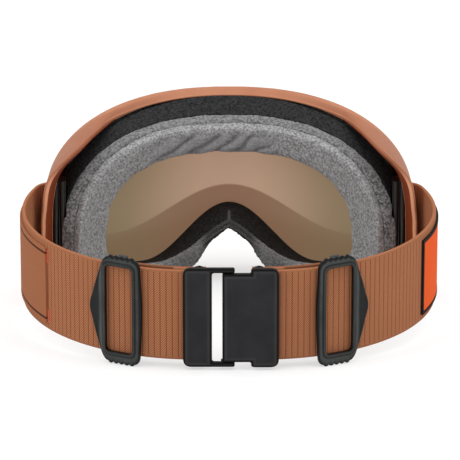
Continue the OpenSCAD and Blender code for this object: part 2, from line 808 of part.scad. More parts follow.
module middle_foam() {
    outer_rear = between(middle_outline, ridge_outline, 0.64);
    inner_front = between(lens_opening, face_opening, 0.73);
    inner_rear = between(lens_opening, face_opening, 0.9);
    color([0.42, 0.42, 0.42])
        difference() {
            ring_loft([
                wrapped(middle_outline, middle_r, middle_axis_y),
                wrapped(outer_rear, under_r, under_axis_y + foam_gap),
                wrapped(inner_rear, under_r, under_axis_y + foam_gap),
                wrapped(inner_front, middle_r, middle_axis_y)
            ]);
            // The foam is cut back beside the anchors
            for (m = [0, 1])
                mirror([m, 0, 0])
                    on_strap() {
                        anchor_block(foam_gap);
                        anchor_ribs(foam_gap);
                    }
        }
}

module face_fleece() {
    outer_front = between(middle_outline, ridge_outline, 0.7);
    inner_front = between(lens_opening, face_opening, 0.92);
    color([0.55, 0.55, 0.55])
        ring_loft([
            wrapped(outer_front, under_r, under_axis_y),
            wrapped(ridge_outline, face_r, face_axis_y + 0.6),
            wrapped(between(ridge_outline, face_opening, 0.14), face_r, face_axis_y - fleece_crown),
            wrapped(between(ridge_outline, face_opening, 0.5), face_r, face_axis_y - fleece_crown * 0.6),
            wrapped(between(ridge_outline, face_opening, 0.86), face_r, face_axis_y - fleece_crown * 0.3),
            wrapped(face_opening, face_r, face_axis_y + 1.2),
            wrapped(inner_front, under_r, under_axis_y)
        ]);
}

// Angle along the loop where each patch starts
left_patch_start = 57;
right_patch_start = 64.5;

module patch_left() {
    color([0.62, 0.38, 0.26])
        mirror([1, 0, 0])
            on_strap()
                loop_band(loop_r + fixed_gap + patch_t, patch_t, patch_margin,
                          strap_w - 2 * patch_margin, left_patch_start,
                          left_patch_start + left_patch_angle);
}

module patch_right_border() {
    edge = asin(patch_border / loop_r);
    color([0.08, 0.08, 0.08])
        on_strap()
            difference() {
                loop_band(loop_r + fixed_gap + patch_t, patch_t, patch_margin,
                          strap_w - 2 * patch_margin, right_patch_start,
                          right_patch_start + right_patch_angle);
                loop_band(loop_r + fixed_gap + patch_t + 1, patch_t + 2, patch_margin + patch_border,
                          strap_w - 2 * patch_margin - 2 * patch_border, right_patch_start + edge,
                          right_patch_start + right_patch_angle - edge);
            }
}

module patch_right_field() {
    edge = asin((patch_border + fixed_gap) / loop_r);
    inset = patch_margin + patch_border + fixed_gap;
    color([0.94, 0.40, 0.18])
        on_strap()
            loop_band(loop_r + fixed_gap + patch_t * 0.8, patch_t * 0.8, inset, strap_w - 2 * inset,
                      right_patch_start + edge, right_patch_start + right_patch_angle - edge);
}

module anchor_right() {
    anchor();
}

module anchor_left() {
    mirror([1, 0, 0]) anchor();
}

module strap_return_right() {
    strap_return();
}

module strap_return_left() {
    mirror([1, 0, 0]) strap_return();
}

module slider_right() {
    slider();
}

module slider_left() {
    mirror([1, 0, 0]) slider();
}

frame();
outer_lens();
inner_lens();
lens_seal();
vent_foam_top();
vent_foam_bottom();
base_foam();
middle_foam();
face_fleece();
anchor_left();
anchor_right();
strap_left();
strap_right();
strap_clip_side();
strap_return_left();
strap_return_right();
slider_left();
slider_right();
clip_loop();
clip_hook();
patch_left();
patch_right_border();
patch_right_field();
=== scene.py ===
"""Snow goggles: the looks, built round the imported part.

The sections follow the goggles as they are put together: frame, lenses, foams, anchors, webbing,
sliders, clip, patches, and last the table they stand on. Sizes are in millimetres in the frame
of the part, and become metres when a mesh is made. Sizes in a material are in metres, apart from
those that follow a piece's own UV.
"""
import math

import bmesh
import bpy
import numpy as np
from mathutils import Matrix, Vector
from mathutils.geometry import tessellate_polygon


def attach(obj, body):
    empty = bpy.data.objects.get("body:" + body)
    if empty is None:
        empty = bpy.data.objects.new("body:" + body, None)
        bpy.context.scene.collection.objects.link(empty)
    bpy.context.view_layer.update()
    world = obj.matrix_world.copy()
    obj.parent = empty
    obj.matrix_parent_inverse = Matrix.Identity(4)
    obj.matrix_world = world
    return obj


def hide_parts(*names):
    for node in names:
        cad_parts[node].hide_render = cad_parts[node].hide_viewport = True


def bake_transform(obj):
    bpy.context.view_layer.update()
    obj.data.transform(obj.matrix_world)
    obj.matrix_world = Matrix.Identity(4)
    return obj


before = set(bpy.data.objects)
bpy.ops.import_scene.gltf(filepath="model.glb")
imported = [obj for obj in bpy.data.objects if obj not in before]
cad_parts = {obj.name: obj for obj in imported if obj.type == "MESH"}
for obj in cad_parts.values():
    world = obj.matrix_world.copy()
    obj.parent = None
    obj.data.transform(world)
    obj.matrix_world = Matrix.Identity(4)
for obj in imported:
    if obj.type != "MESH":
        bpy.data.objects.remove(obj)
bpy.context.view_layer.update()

# ---------------------------------------------------------------- Moulded frame
# The frame is one soft moulding: a shell that widens from the lens to a crest and runs back to a
# thin rear rim, with a wing on each side. The webbing passes through a slot in each wing, and
# slits behind the lens let air in over the brow and under the cheeks.


def rise(v, a, b):
    """Smooth step: with t = (v - a) / (b - a) kept in 0..1, it is t * t * (3 - 2 t)."""
    t = np.clip((v - a) / (b - a), 0, 1)
    return t * t * (3 - 2 * t)


def outline(steps, brow, upper, side_x, side_z, lower, cheek_x, cheek_z, nose, nose_z):
    """Closed outline in X and Z. The upper and lower quarters are superellipses
    (sin t)^(2/n), (cos t)^(2/n), and the nose is a raised cosine over the cheek's half width."""
    t = np.linspace(0, np.pi / 2, steps[0], endpoint=False)
    top = np.stack([side_x * np.sin(t) ** (2 / upper),
                    side_z + (brow - side_z) * np.cos(t) ** (2 / upper)], 1)
    t = np.linspace(0, np.pi / 2, steps[1], endpoint=False)
    low = np.stack([cheek_x + (side_x - cheek_x) * np.cos(t) ** (2 / lower),
                    side_z - (side_z - cheek_z) * np.sin(t) ** (2 / lower)], 1)
    u = np.linspace(1, 0, steps[2] + 1)
    bridge = np.stack([cheek_x * u ** nose,
                       cheek_z + (nose_z - cheek_z) * (1 + np.cos(np.pi * u)) / 2], 1)
    half = np.concatenate([top, low, bridge])
    return np.concatenate([half, half[-2:0:-1] * [-1, 1]])


def outlines(*steps):
    """Every outline of the goggles on the same stations, by name. Steps are the stations in the
    upper quarter, the lower quarter and half the nose."""
    shapes = {"crest": (85.2, 2.52, 80.8, 43, 2.8, 41, -0.6, 1.15, 26),
              "rim": (82.9, 2.35, 82.2, 36, 3, 41, -0.6, 1.2, 25.4),
              "lens": (77, 2.6, 73, 40, 2.3, 39.5, 5.8, 1, 31),
              "core": (60.1, 2.8, 54, 31, 2.4, 32, 15.4, 1.2, 41),
              "bed": (82.4, 2.15, 76.4, 38, 2.3, 40, 3.2, 1.1, 28.2),
              "middle": (76.2, 2.55, 73.4, 28, 2.3, 36, 2, 1.3, 25.6),
              "ridge": (72.2, 2.8, 65.8, 24, 2.4, 31, 1.6, 1.4, 25.6),
              "face": (60.1, 2.8, 54, 24, 2.4, 32, 11.2, 1.5, 26.6)}
    o = {name: outline(steps, *shape) for name, shape in shapes.items()}
    rim, height = o["rim"], o["rim"][:, 1].copy()
    wing_width = 4.6 * rise(height, 43, 66) * (1 - rise(height, 66, 80.2))
    rim[:, 0] += np.sign(rim[:, 0]) * wing_width
    o["front"] = toward(o["crest"], o["lens"], 1.4 + 2.4 * rise(o["crest"][:, 1], 21.5, 61))
    return o


def toward(a, b, d):
    """Points d millimetres from outline a on the way to outline b."""
    way = b - a
    return a + way * (np.asarray(d) / np.linalg.norm(way, axis=1)).reshape(-1, 1)


def part_way(a, b, share):
    """The outline that share of the way from a to b."""
    return a + (b - a) * share


def wrapped(a, r, axis_y):
    """An outline laid on an upright cylinder: y = axis_y + sqrt(r^2 - x^2)."""
    return np.stack([a[:, 0], axis_y + np.sqrt(r * r - a[:, 0] ** 2), a[:, 1]], 1)


def skin(loops, radii, size, steps=5):
    """A closed profile carried round a ring of stations. Each corner P of the profile becomes the
    curve (1-t)^2 A + 2t(1-t) P + t^2 B between points at its radius, and straight runs are
    filled to the given size. Gives the grid of points and each row's place in the loops."""
    p = np.stack(loops)
    back, on = np.roll(p, 1, 0) - p, np.roll(p, -1, 0) - p
    r = np.asarray(radii, float)[:, None]
    long_back, long_on = np.linalg.norm(back, axis=2) + 1e-9, np.linalg.norm(on, axis=2) + 1e-9
    a = p + back * (np.minimum(r, 0.45 * long_back) / long_back)[..., None]
    b = p + on * (np.minimum(r, 0.45 * long_on) / long_on)[..., None]
    t = np.linspace(0, 1, steps)[None, :, None, None]
    rows = (1 - t) ** 2 * a[:, None] + 2 * t * (1 - t) * p[:, None] + t ** 2 * b[:, None]
    rows = rows.reshape(-1, *p.shape[1:])
    place = (np.arange(len(p))[:, None] + np.linspace(-0.2, 0.2, steps)).ravel()
    after, place_after = np.roll(rows, -1, 0), np.roll(place, -1)
    place_after[-1] += len(p)
    grid, places = [], []
    for i in range(len(rows)):
        length = np.median(np.linalg.norm(after[i] - rows[i], axis=1))
        count = max(1, int(math.ceil(length / size)))
        f = np.arange(count) / count
        grid.append(rows[i] + (after[i] - rows[i]) * f[:, None, None])
        places.append(place[i] + (place_after[i] - place[i]) * f)
    return np.concatenate(grid), np.concatenate(places)


def grid_faces(m, n, close_m=True, close_n=True):
    """Quads of an m by n grid of points, closed one way, both ways or neither."""
    i, j = np.meshgrid(np.arange(m if close_m else m - 1), np.arange(n if close_n else n - 1),
                       indexing="ij")
    i, j = i.ravel(), j.ravel()
    next_i, next_j = (i + 1) % m, (j + 1) % n
    return np.stack([i * n + j, i * n + next_j, next_i * n + next_j, next_i * n + j], 1)


def tube_faces(m, n):
    """Quads of m rings of n points, and a cap on each end."""
    return (grid_faces(m, n, False).tolist()
            + [list(range(n))[::-1], list(range((m - 1) * n, m * n))])


def outwards(points, faces):
    """Points and faces, with the faces turned so that the volume is positive: it is the sum of
    a . (b x c) / 6 over fans of each face, about the middle of the points."""
    points = np.asarray(points, float).reshape(-1, 3)
    faces = [list(map(int, f)) for f in faces]
    fans = np.array([(f[0], f[i], f[i + 1]) for f in faces for i in range(1, len(f) - 1)])
    a, b, c = (points[fans[:, i]] - points.mean(0) for i in range(3))
    inside_out = np.einsum("ij,ij->i", a, np.cross(b, c)).sum() < 0
    return points, [f[::-1] for f in faces] if inside_out else faces


def shaded(mesh, sharp):
    """Smooth shading, broken at edges sharper than an angle in degrees."""
    mesh.shade_smooth()
    mesh.set_sharp_from_angle(angle=math.radians(sharp))


def make(name, points, faces, values=None, uv=None, sharp=40):
    """A mesh object from points in millimetres, with its faces outwards. Values are attributes of
    its points by name."""
    points, faces = outwards(points, faces)
    mesh = bpy.data.meshes.new(name)
    mesh.from_pydata((points / 1000).tolist(), [], faces)
    for key, value in (values or {}).items():
        value = np.asarray(value, np.float32).ravel()
        mesh.attributes.new(key, "FLOAT", "POINT").data.foreach_set("value", value)
    if uv is not None:
        corners = np.empty(len(mesh.loops), np.int32)
        mesh.loops.foreach_get("vertex_index", corners)
        uv = np.asarray(uv, np.float32)[corners].ravel()
        mesh.uv_layers.new(name="along").data.foreach_set("uv", uv)
    shaded(mesh, sharp)
    piece = bpy.data.objects.new(name, mesh)
    bpy.context.scene.collection.objects.link(piece)
    return piece


def settle(piece, sharp):
    """Works a piece's modifiers into its mesh."""
    bpy.context.view_layer.update()
    ready = piece.evaluated_get(bpy.context.evaluated_depsgraph_get())
    mesh = bpy.data.meshes.new_from_object(ready)
    piece.modifiers.clear()
    piece.data = mesh
    shaded(mesh, sharp)


def cut(piece, *blocks):
    """Takes the blocks out of a piece. A block is points and faces in millimetres."""
    tools = []
    for i, block in enumerate(blocks):
        tools.append(make(f"tool_{i}", *block))
        step = piece.modifiers.new("cut", "BOOLEAN")
        step.operation, step.solver, step.object = "DIFFERENCE", "EXACT", tools[-1]
    settle(piece, 40)
    for tool in tools:
        bpy.data.objects.remove(tool)


def box(x0, x1, y0, y1, z0, z1):
    """Points and faces of a box."""
    x, y, z = np.meshgrid((x0, x1), (y0, y1), (z0, z1), indexing="ij")
    points = np.stack([x.ravel(), y.ravel(), z.ravel()], 1)
    return points, [(0, 1, 3, 2), (4, 6, 7, 5), (0, 4, 5, 1), (2, 3, 7, 6), (0, 2, 6, 4), (1, 5, 7, 3)]


def turned(points, degrees, centre=(0, 0, 0)):
    """Points turned about an upright axis through a centre."""
    t = math.radians(degrees)
    turn = np.array([[math.cos(t), math.sin(t), 0], [-math.sin(t), math.cos(t), 0], [0, 0, 1]])
    return (np.asarray(points) - centre) @ turn + centre


def joined(blocks):
    """Several blocks as one."""
    points, faces, base = [], [], 0
    for p, f in blocks:
        points.append(p)
        faces += [[i + base for i in g] for g in f]
        base += len(p)
    return np.concatenate(points), faces


def unit(degrees):
    """The direction at an angle, as x and y."""
    return np.array([math.cos(math.radians(degrees)), math.sin(math.radians(degrees))])


# The strap has its own axes: its path runs in x and y at its lower edge, and is tilted up towards
# the frame. It is a flat run, a wide loop round its centre, and a tight turn into the wing, whose
# first and last angles are given in degrees. The wing ends 5 mm behind the turn's centre.
TILT = math.radians(6)
WEB_W, WEB_T, LOOP_R, FLAT_HALF = 40.0, 1.6, 76.0, 13.2
TURN_R, TURN_IN, TURN_END = 9.0, 20, 74
LOOP_CENTRE = np.array([FLAT_HALF, LOOP_R])
TURN_CENTRE = LOOP_CENTRE + (LOOP_R - TURN_R) * unit(TURN_IN)
wing_back = TURN_CENTRE[1] - 5
# The lens seat, the crest and the rear rim lie on upright cylinders of these radii. Seat and crest
# share an axis at AXIS_Y, which puts the origin halfway between the lens's front and the top of
# the clip's rear. The turn is TURN_AHEAD of that axis, and the rim is RIM_BEHIND the seat.
SEAT_R, CREST_R, RIM_R = 102.0, 96.0, 97.0
TURN_AHEAD, RIM_BEHIND, LENS_FRONT, CLIP_REAR, CLIP_TOP, STRAP_LIFT = 38.88, 11, 3, 3.4, 42, 3.7
loop_back = TURN_CENTRE[1] - TURN_AHEAD
AXIS_Y = (loop_back + CLIP_REAR * math.cos(TILT) + CLIP_TOP * math.sin(TILT) - SEAT_R - LENS_FRONT) / 2
RIM_AXIS = AXIS_Y + SEAT_R - RIM_BEHIND - RIM_R
LOOP_Y, LOOP_Z = AXIS_Y - loop_back, STRAP_LIFT * math.cos(TILT)


def on_strap(points):
    """Points in the strap's axes, put where the strap is."""
    p = np.asarray(points, float)
    s, c = math.sin(TILT), math.cos(TILT)
    return np.stack([p[..., 0], LOOP_Y + p[..., 1] * c - p[..., 2] * s,
                     LOOP_Z + p[..., 1] * s + p[..., 2] * c], -1)


def on_lens(a, ahead=0.0):
    """An outline on the cylinder of the lens seat, or so far ahead of it."""
    return wrapped(a, SEAT_R + ahead, AXIS_Y)


def wing_share(a, x0, x1):
    """How much a point of an outline belongs to a wing, from 0 to 1."""
    return rise(np.abs(a[:, 0]), x0, x1) * rise(a[:, 1], 1.1, 11.2)


def rim_points(a, lift, wing_lift=0.0):
    """An outline on the rear rim: on a cylinder over the brow and cheeks, and on a plane square to
    the strap in the wings, mixed by the wing's share."""
    share = wing_share(a, 50.1, 77.3)
    rim_y = RIM_AXIS + np.sqrt(RIM_R ** 2 - a[:, 0] ** 2)
    wing_y = LOOP_Y + (wing_back - (a[:, 1] - LOOP_Z) * math.sin(TILT)) / math.cos(TILT)
    return np.stack([a[:, 0], rim_y + (wing_y - rim_y) * share + lift + wing_lift * share, a[:, 1]], 1)


def shell_loops(o):
    """The frame's profile at every station, and the line of its inner wall. The wall's thickness
    is face at the rear rim and boss a little ahead of it, both thicker in the wings."""
    rim, lens, front, crest = o["rim"], o["lens"], o["front"], o["crest"]
    up = rise(rim[:, 1], 11.2, 31)
    face = 1.2 + 1.0 * (1 - up) + 1.6 * wing_share(rim, 36.2, 61.6) * up
    boss = face + 1.9 * wing_share(rim, 60, 76)
    wall = toward(part_way(crest, front, 3 / 7.8), lens, 2.2)
    wall_front = on_lens(wall, -3)
    crest_rear = wrapped(part_way(crest, rim, 0.18), CREST_R - 2, AXIS_Y)
    a, y = rim_points(rim, 0.8), rim_points(rim, 1.6, 8.4)[:, 1]
    f = np.clip((y - a[:, 1]) / (crest_rear[:, 1] - a[:, 1]), 0, 1)[:, None]
    inner = toward(part_way(a, crest_rear, f)[:, [0, 2]], lens, boss)
    wall_rear = np.stack([inner[:, 0], y, inner[:, 1]], 1)
    loops = [on_lens(toward(front, lens, 1.7), LENS_FRONT), on_lens(toward(front, lens, 0.4), LENS_FRONT),
             on_lens(front, 1.8), wrapped(part_way(crest, front, 0.12), CREST_R + 2.2, AXIS_Y),
             wrapped(crest, CREST_R, AXIS_Y), crest_rear, rim_points(rim, 0.8),
             rim_points(toward(rim, lens, 0.4), 0), rim_points(toward(rim, lens, face), 0.4),
             wall_rear, wall_front, on_lens(lens, -3), on_lens(lens), on_lens(toward(front, lens, 2))]
    return loops, wall_front, wall_rear


FINE = outlines(96, 52, 66)
shell, shell_place = skin(shell_loops(FINE)[0],
                          [0.4, 0.4, 0.7, 2, 3, 1.0, 0.5, 0.4, 0.5, 3, 0.6, 0.4, 0.3, 0.4], 3.0)
shell[..., 2] = np.maximum(shell[..., 2], 0)
# inside marks the inner wall, which is painted darker and redder as shade. The shade starts earlier across
# the wings' rims.
inside = rise(shell_place[:, None] + 0.28 * wing_share(FINE["rim"], 50, 77), 7.95, 8.2)
# The rear band is painted darker as shade where the crown faces back.
rear_band_shade = (rise(shell_place, 5.0, 5.35) * (1 - rise(shell_place, 6.5, 6.8)))[:, None]
goggle_frame = make("goggle_frame", shell, grid_faces(*shell.shape[:2]),
                    {"inside": inside, "rear": rear_band_shade * rise(np.abs(shell[..., 0]), 15, 50)})


def circle(centre, r, a):
    """Points of a circle in x and y, at angles in radians."""
    return np.stack([centre[0] + r * np.cos(a), centre[1] + r * np.sin(a)], -1)


def slot_block(stations=40, clear=0.3):
    """The slot for the webbing through a wing: the turn's arc, a little clear of the webbing."""
    a = np.radians(np.linspace(TURN_IN, 88, stations))
    near, far = TURN_R - WEB_T - clear, TURN_R + clear
    corners = [(near, -clear), (far, -clear), (far, WEB_W + clear), (near, WEB_W + clear)]
    ring = np.stack([np.insert(circle(TURN_CENTRE, r, a), 2, z, 1) for r, z in corners], 1)
    return ring.reshape(-1, 3), tube_faces(stations, 4)


def in_wings(*blocks):
    """Blocks in the strap's axes, put in the right wing and then in the left."""
    return [(on_strap(points) * [side, 1, 1], faces) for side in (1, -1) for points, faces in blocks]


def vents(half_width, depths, heights, angles):
    """A row of slits through the shell, turned about the lens's axis."""
    points, faces = box(-half_width, half_width, *(AXIS_Y + d for d in depths), *heights)
    return joined([(turned(points, angle, (0, AXIS_Y, 0)), faces) for angle in angles])


anchor_seat = box(71.4, 77.4, 103.9, 112.3, -1.1, 41.1)
cut(goggle_frame, *in_wings(slot_block(), anchor_seat),
    vents(5, (96.6, 98.8), (66, 108), [8 * i for i in range(-3, 4)]),
    vents(2.5, (93.6, 97.6), (-10, 6), [s * (-18 - 5 * i) for s in (-1, 1) for i in range(3)]))


def srgb(r, g, b):
    """A colour as seen on screen, 0 to 255, as the shader's linear numbers."""
    c = np.array([r, g, b]) / 255
    return tuple(np.where(c <= 0.04045, c / 12.92, ((c + 0.055) / 1.055) ** 2.4).tolist())


def grey(n, blue=1):
    """A grey with a trace of blue."""
    return srgb(n, n, n + blue)


class Wire:
    """One output of a material's nodes. Arithmetic on it adds Math nodes, and node() any other."""

    def __init__(self, tree, socket=None):
        self.tree, self.socket = tree, socket

    def feed(self, made, inputs):
        """Sets or links a node's inputs, by name or number."""
        for key, value in dict(inputs).items():
            if isinstance(value, Wire):
                self.tree.links.new(value.socket, made.inputs[key])
            else:
                made.inputs[key].default_value = value

    def node(self, kind, settings=(), inputs=(), out=0):
        """Adds a node: its settings first, then its inputs, each a number, a tuple or a Wire."""
        made = self.tree.nodes.new(kind)
        for key, value in dict(settings).items():
            setattr(made, key, value)
        self.feed(made, inputs)
        return Wire(self.tree, made.outputs[out])

    def sum(self, operation, *others):
        """A Math node of that operation on this and the others."""
        inputs = dict(enumerate((self, *others)))
        return self.node("ShaderNodeMath", {"operation": operation}, inputs)

    def __add__(self, o): return self.sum("ADD", o)
    def __sub__(self, o): return self.sum("SUBTRACT", o)
    def __mul__(self, o): return self.sum("MULTIPLY", o)
    def __radd__(self, o): return self + o
    def __rmul__(self, o): return self * o
    def __rsub__(self, o): return self.node("ShaderNodeMath", {"operation": "SUBTRACT"}, {0: o, 1: self})

    def smooth(self, a, b):
        """0 below a, 1 above b and smooth between."""
        return self.node("ShaderNodeMapRange", {"interpolation_type": "SMOOTHSTEP"},
                         {"Value": self, "From Min": a, "From Max": b})

    def mix(self, low, high):
        """The colour low where this is 0 and high where it is 1."""
        low, high = (c if isinstance(c, Wire) else (*c, 1) for c in (low, high))
        return self.node("ShaderNodeMix", {"data_type": "RGBA"}, {0: self, 6: low, 7: high}, 2)

    def part(self, axis):
        """The X, Y or Z of a vector."""
        return self.node("ShaderNodeSeparateXYZ", {}, {0: self}, axis)


def here(root):
    """Object coordinates, in metres."""
    return root.node("ShaderNodeTexCoord", out="Object")


def height(root):
    """The height of a point, in metres."""
    return here(root).part("Z")


def off_middle(root):
    """How far a point is to the left or right of the middle, in metres."""
    return here(root).part("X").sum("ABSOLUTE")


def marked(root, name):
    """The attribute of that name, from 0 to 1."""
    return root.node("ShaderNodeAttribute", {"attribute_name": name}, out="Fac")


def noise(root, size, detail=3, rough=0.55):
    """Noise whose features are about size metres wide, around 0.5."""
    return root.node("ShaderNodeTexNoise", {}, {"Vector": here(root), "Scale": 1 / size,
                                                "Detail": detail, "Roughness": rough})


def finish(name, colour, bumps=lambda root: (), **constants):
    """A material on one shader. colour gives what changes over the surface, bumps gives (height,
    distance in metres) pairs laid over each other, and constants are set on the shader's own
    sockets, whose names have spaces for underlines."""
    material = bpy.data.materials.new(name)
    material.use_nodes = True
    root = Wire(material.node_tree)
    normal = {}
    for raised, distance in bumps(root):
        normal = {"Normal": root.node("ShaderNodeBump", {}, {
            "Height": raised, "Distance": distance, "Strength": 1.0, **normal})}
    constants = {key.replace("_", " "): value for key, value in constants.items()}
    root.feed(material.node_tree.nodes["Principled BSDF"], {**colour(root), **normal, **constants})
    return material


def dress(piece, look, body, slot, *nodes, fill=None):
    """Gives a piece its material and body and the nodes it stands for, which are hidden; slot is not used.
    A piece blended between bodies has none here; fill is not used."""
    piece.data.materials.append(look)
    if body:
        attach(piece, body)
    if nodes:
        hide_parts(*nodes)
    return piece


def rubber_colour_and_shade(root):
    """Terracotta with faint clouding. Painted shade makes it darker and redder on the inner wall and
    darker on the crown's rear band, and a painted highlight makes the wings' rear edges paler."""
    wall, high = marked(root, "inside"), height(root)
    outer = noise(root, 0.018).smooth(0.3, 0.7).mix(srgb(178, 115, 83), srgb(187, 125, 93))
    # Painted shade on the rear band, darker high on the crown.
    band = high.smooth(0.048, 0.064).mix(srgb(182, 120, 88), srgb(158, 99, 70))
    outer = (marked(root, "rear") * 0.75).mix(outer, band)
    # Painted highlight: paler on the wings' rear edges, where the inner wall begins.
    edge = (wall.smooth(0, 0.12) * (1 - wall.smooth(0.45, 0.85)) * (1 - high.smooth(0.056, 0.066))
            * off_middle(root).smooth(0.066, 0.072))
    # Painted shade: the inner wall darker and redder.
    return {"Base Color": edge.mix(wall.mix(outer, srgb(132, 56, 20)), srgb(242, 176, 136)),
            "Roughness": 0.46 + noise(root, 0.002) * 0.2}


rubber = finish("frame_rubber", rubber_colour_and_shade, lambda r: [(noise(r, 0.0006, 4), 0.00012)],
                Specular_IOR_Level=0.3, Subsurface_Weight=0.06, Subsurface_Scale=0.003)
dress(goggle_frame, rubber, "goggles", "frame_shell", "frame")

# ---------------------------------------------------------------- Lenses and their seal
# Two sheets bent to the same cylinder: a mirrored copper lens outside and a tinted anti-fog lens
# inside, held apart by a strip of closed-cell foam all round. Both are cut to the frame's opening.


def turn_outwards(piece, merge=0.0):
    """Turns a piece's faces outwards, after points within merge metres of each other are one."""
    work = bmesh.new()
    work.from_mesh(piece.data)
    if merge:
        bmesh.ops.remove_doubles(work, verts=work.verts, dist=merge)
    bmesh.ops.recalc_face_normals(work, faces=work.faces)
    work.to_mesh(piece.data)
    work.free()


def vectors(piece, key):
    """A vector of each point of a piece, such as its place or its normal, as an array."""
    flat = np.empty(3 * len(piece.data.vertices), np.float32)
    piece.data.vertices.foreach_get(key, flat)
    return flat.reshape(-1, 3)


def lens_piece(name, rim, front, rear, node, slot, look, rings=26):
    """A closed lens between two cylinders, so far ahead of the lens seat: rings of the outline on
    the front one and back on the rear one, each drawn a share k^1.2 of the way to a middle
    point, which is merged. Its normals are those of the cylinders, (x, y - axis) / r in front and
    the reverse behind."""
    middle = np.array([0, 52])
    flat = [part_way(rim, middle, k) for k in np.linspace(0, 1, rings) ** 1.2]
    rows = np.stack([on_lens(f, front) for f in flat[::-1]] + [on_lens(f, rear) for f in flat])
    piece = make(name, rows, grid_faces(*rows.shape[:2], False))
    turn_outwards(piece, 1e-6)
    away = vectors(piece, "co") * 1000 - [0, AXIS_Y, 0]
    radius = np.hypot(away[:, 0], away[:, 1])
    facing = np.where(radius > SEAT_R + (front + rear) / 2, 1, -1)
    normals = away * (facing / radius)[:, None] * [1, 1, 0]
    piece.data.normals_split_custom_set_from_vertices(normals.tolist())
    dress(piece, look, "goggles", slot, node)


def mirror_colour(root):
    """Copper mirror, deeper towards the ends of the wrap."""
    side = off_middle(root).smooth(0.02, 0.075)
    return {"Base Color": side.mix(srgb(206, 128, 78), srgb(150, 74, 42)),
            "Roughness": 0.05 + noise(root, 0.03) * 0.05}


def tint_with_painted_light(root):
    """The copper tint seen from inside: pinkish at the middle and olive at the sides, with a painted
    reflection of the cheek foam that makes the lower field darker below a raised cosine of the width.
    The same colour is given as a painted glow, standing in for light that comes through the lens."""
    side = off_middle(root).smooth(0.008, 0.054)
    upper = side.mix(srgb(178, 147, 124), srgb(130, 112, 85))
    lower = side.mix(srgb(134, 102, 80), srgb(126, 105, 80))
    edge = 0.0208 + 0.0095 * (1 + (here(root).part("X") * (math.pi / 0.052)).sum("COSINE"))
    seen = (edge - height(root)).smooth(-0.0004, 0.0006).mix(upper, lower)
    return {"Base Color": seen, "Emission Color": seen, "Roughness": 0.2 + noise(root, 0.02) * 0.06}


copper = finish("copper_mirror", mirror_colour, Metallic=0.85, Coat_Weight=0.6, Coat_Roughness=0.03)
# The inner lens glows with its own colour as painted light, though it is no lamp.
tint = finish("inner_tint", tint_with_painted_light, Emission_Strength=0.62, Specular_IOR_Level=0.3)
inner_rim = toward(FINE["lens"], FINE["core"], 0.5)
lens_piece("outer_lens_mirror", toward(FINE["front"], FINE["lens"], 2.3), 1.8, 0.3,
           "outer_lens", "outer_tint", copper)
lens_piece("inner_lens_tint", inner_rim, -3.3, -4.4, "inner_lens", "inner_tint", tint)


def pores(light, dark, size):
    """Open-cell foam: two sizes of cells between a dark and a light colour, and the same cells
    as bumps. Under the nose its two ends meet in a paler joint."""
    def cells(root):
        return root.node("ShaderNodeTexVoronoi", {}, {"Vector": here(root), "Scale": 1 / size}, "Distance")

    def colour(root):
        grain = (cells(root).smooth(0.1, 0.75) * 0.5
                 + noise(root, size * 1.6, 4, 0.7).smooth(0.35, 0.65) * 0.5)
        across = off_middle(root) + noise(root, 0.0012) * 0.0005
        joint = (1 - across.smooth(0.0005, 0.0012)) * (1 - height(root).smooth(0.0294, 0.0302))
        return {"Base Color": (joint * 0.8).mix(grain.mix(dark, light), grey(104))}

    return finish(f"foam_{int(size * 1e6)}", colour,
                  lambda r: [(cells(r), 0.00025), (noise(r, size * 5, 3), 0.0005)],
                  Roughness=0.95, Specular_IOR_Level=0.2)


seal_in = toward(FINE["lens"], FINE["core"], 3.5)
seal_rows, _ = skin([on_lens(line, ahead) for line, ahead in (
    (inner_rim, 0.2), (inner_rim, -3.2), (seal_in, -3.2), (seal_in, 0.2))], [0.3] * 4, 1.2)
lens_seal = make("lens_seal_foam", seal_rows, grid_faces(*seal_rows.shape[:2]))
dress(lens_seal, pores(srgb(60, 58, 56), srgb(22, 21, 21), 0.0007), "goggles", "seal_foam",
      "lens_seal", fill=0.9)

# ---------------------------------------------------------------- Foams and fleece
# The face pad is three layers glued on each other: black open-cell foam seated in the frame, grey
# foam with fibres, and short fleece against the face. Thin foam strips lie behind the vents.

SOFT = outlines(170, 96, 124)
_, soft_front, soft_rear = shell_loops(SOFT)
for name in ("middle", "ridge"):
    # The arch over the nose is fuller at half height than the frame's, and its feet stand closer.
    x, z = SOFT[name].T
    fuller = 1.7 * np.exp(-((z - 18.5) / 4.2) ** 2) - 0.9 * np.exp(-((z - 8) / 4) ** 2)
    SOFT[name][:, 0] += np.sign(x) * fuller * (np.abs(x) < 34)


def soft_line(a, b, share):
    """The outline that share of the way between two of the pad's, by name."""
    return part_way(SOFT[a], SOFT[b], share)


def wall_line(d):
    """The frame's inner wall d millimetres behind the lens seat's flange."""
    return part_way(soft_front, soft_rear, (d / (soft_front[:, 1] - soft_rear[:, 1]))[:, None])


def pull_in(points, d, most=0.66):
    """Wall points pulled in by d towards the lens opening, and at most a share of that band."""
    flat = points[:, [0, 2]]
    band = SOFT["lens"] - flat
    flat = flat + band * np.minimum(d / np.linalg.norm(band, axis=1), most)[:, None]
    return np.stack([flat[:, 0], points[:, 1], flat[:, 1]], 1)


def ripples(points, size, seed, waves=28):
    """Soft seeded noise around 0: the sum of sines of k . p + phase over the root of their number,
    with k in random directions and lengths round 2 pi / size."""
    rng = np.random.default_rng(seed)
    k = rng.normal(size=(waves, 3))
    k *= (2 * np.pi / size) * rng.uniform(0.6, 1.6, (waves, 1)) / np.linalg.norm(k, axis=1, keepdims=True)
    phase = rng.uniform(0, 2 * np.pi, waves)
    total = np.zeros(points.shape[:-1])
    for one, start in zip(k, phase):
        total += np.sin(points @ one + start)
    return total / math.sqrt(waves)


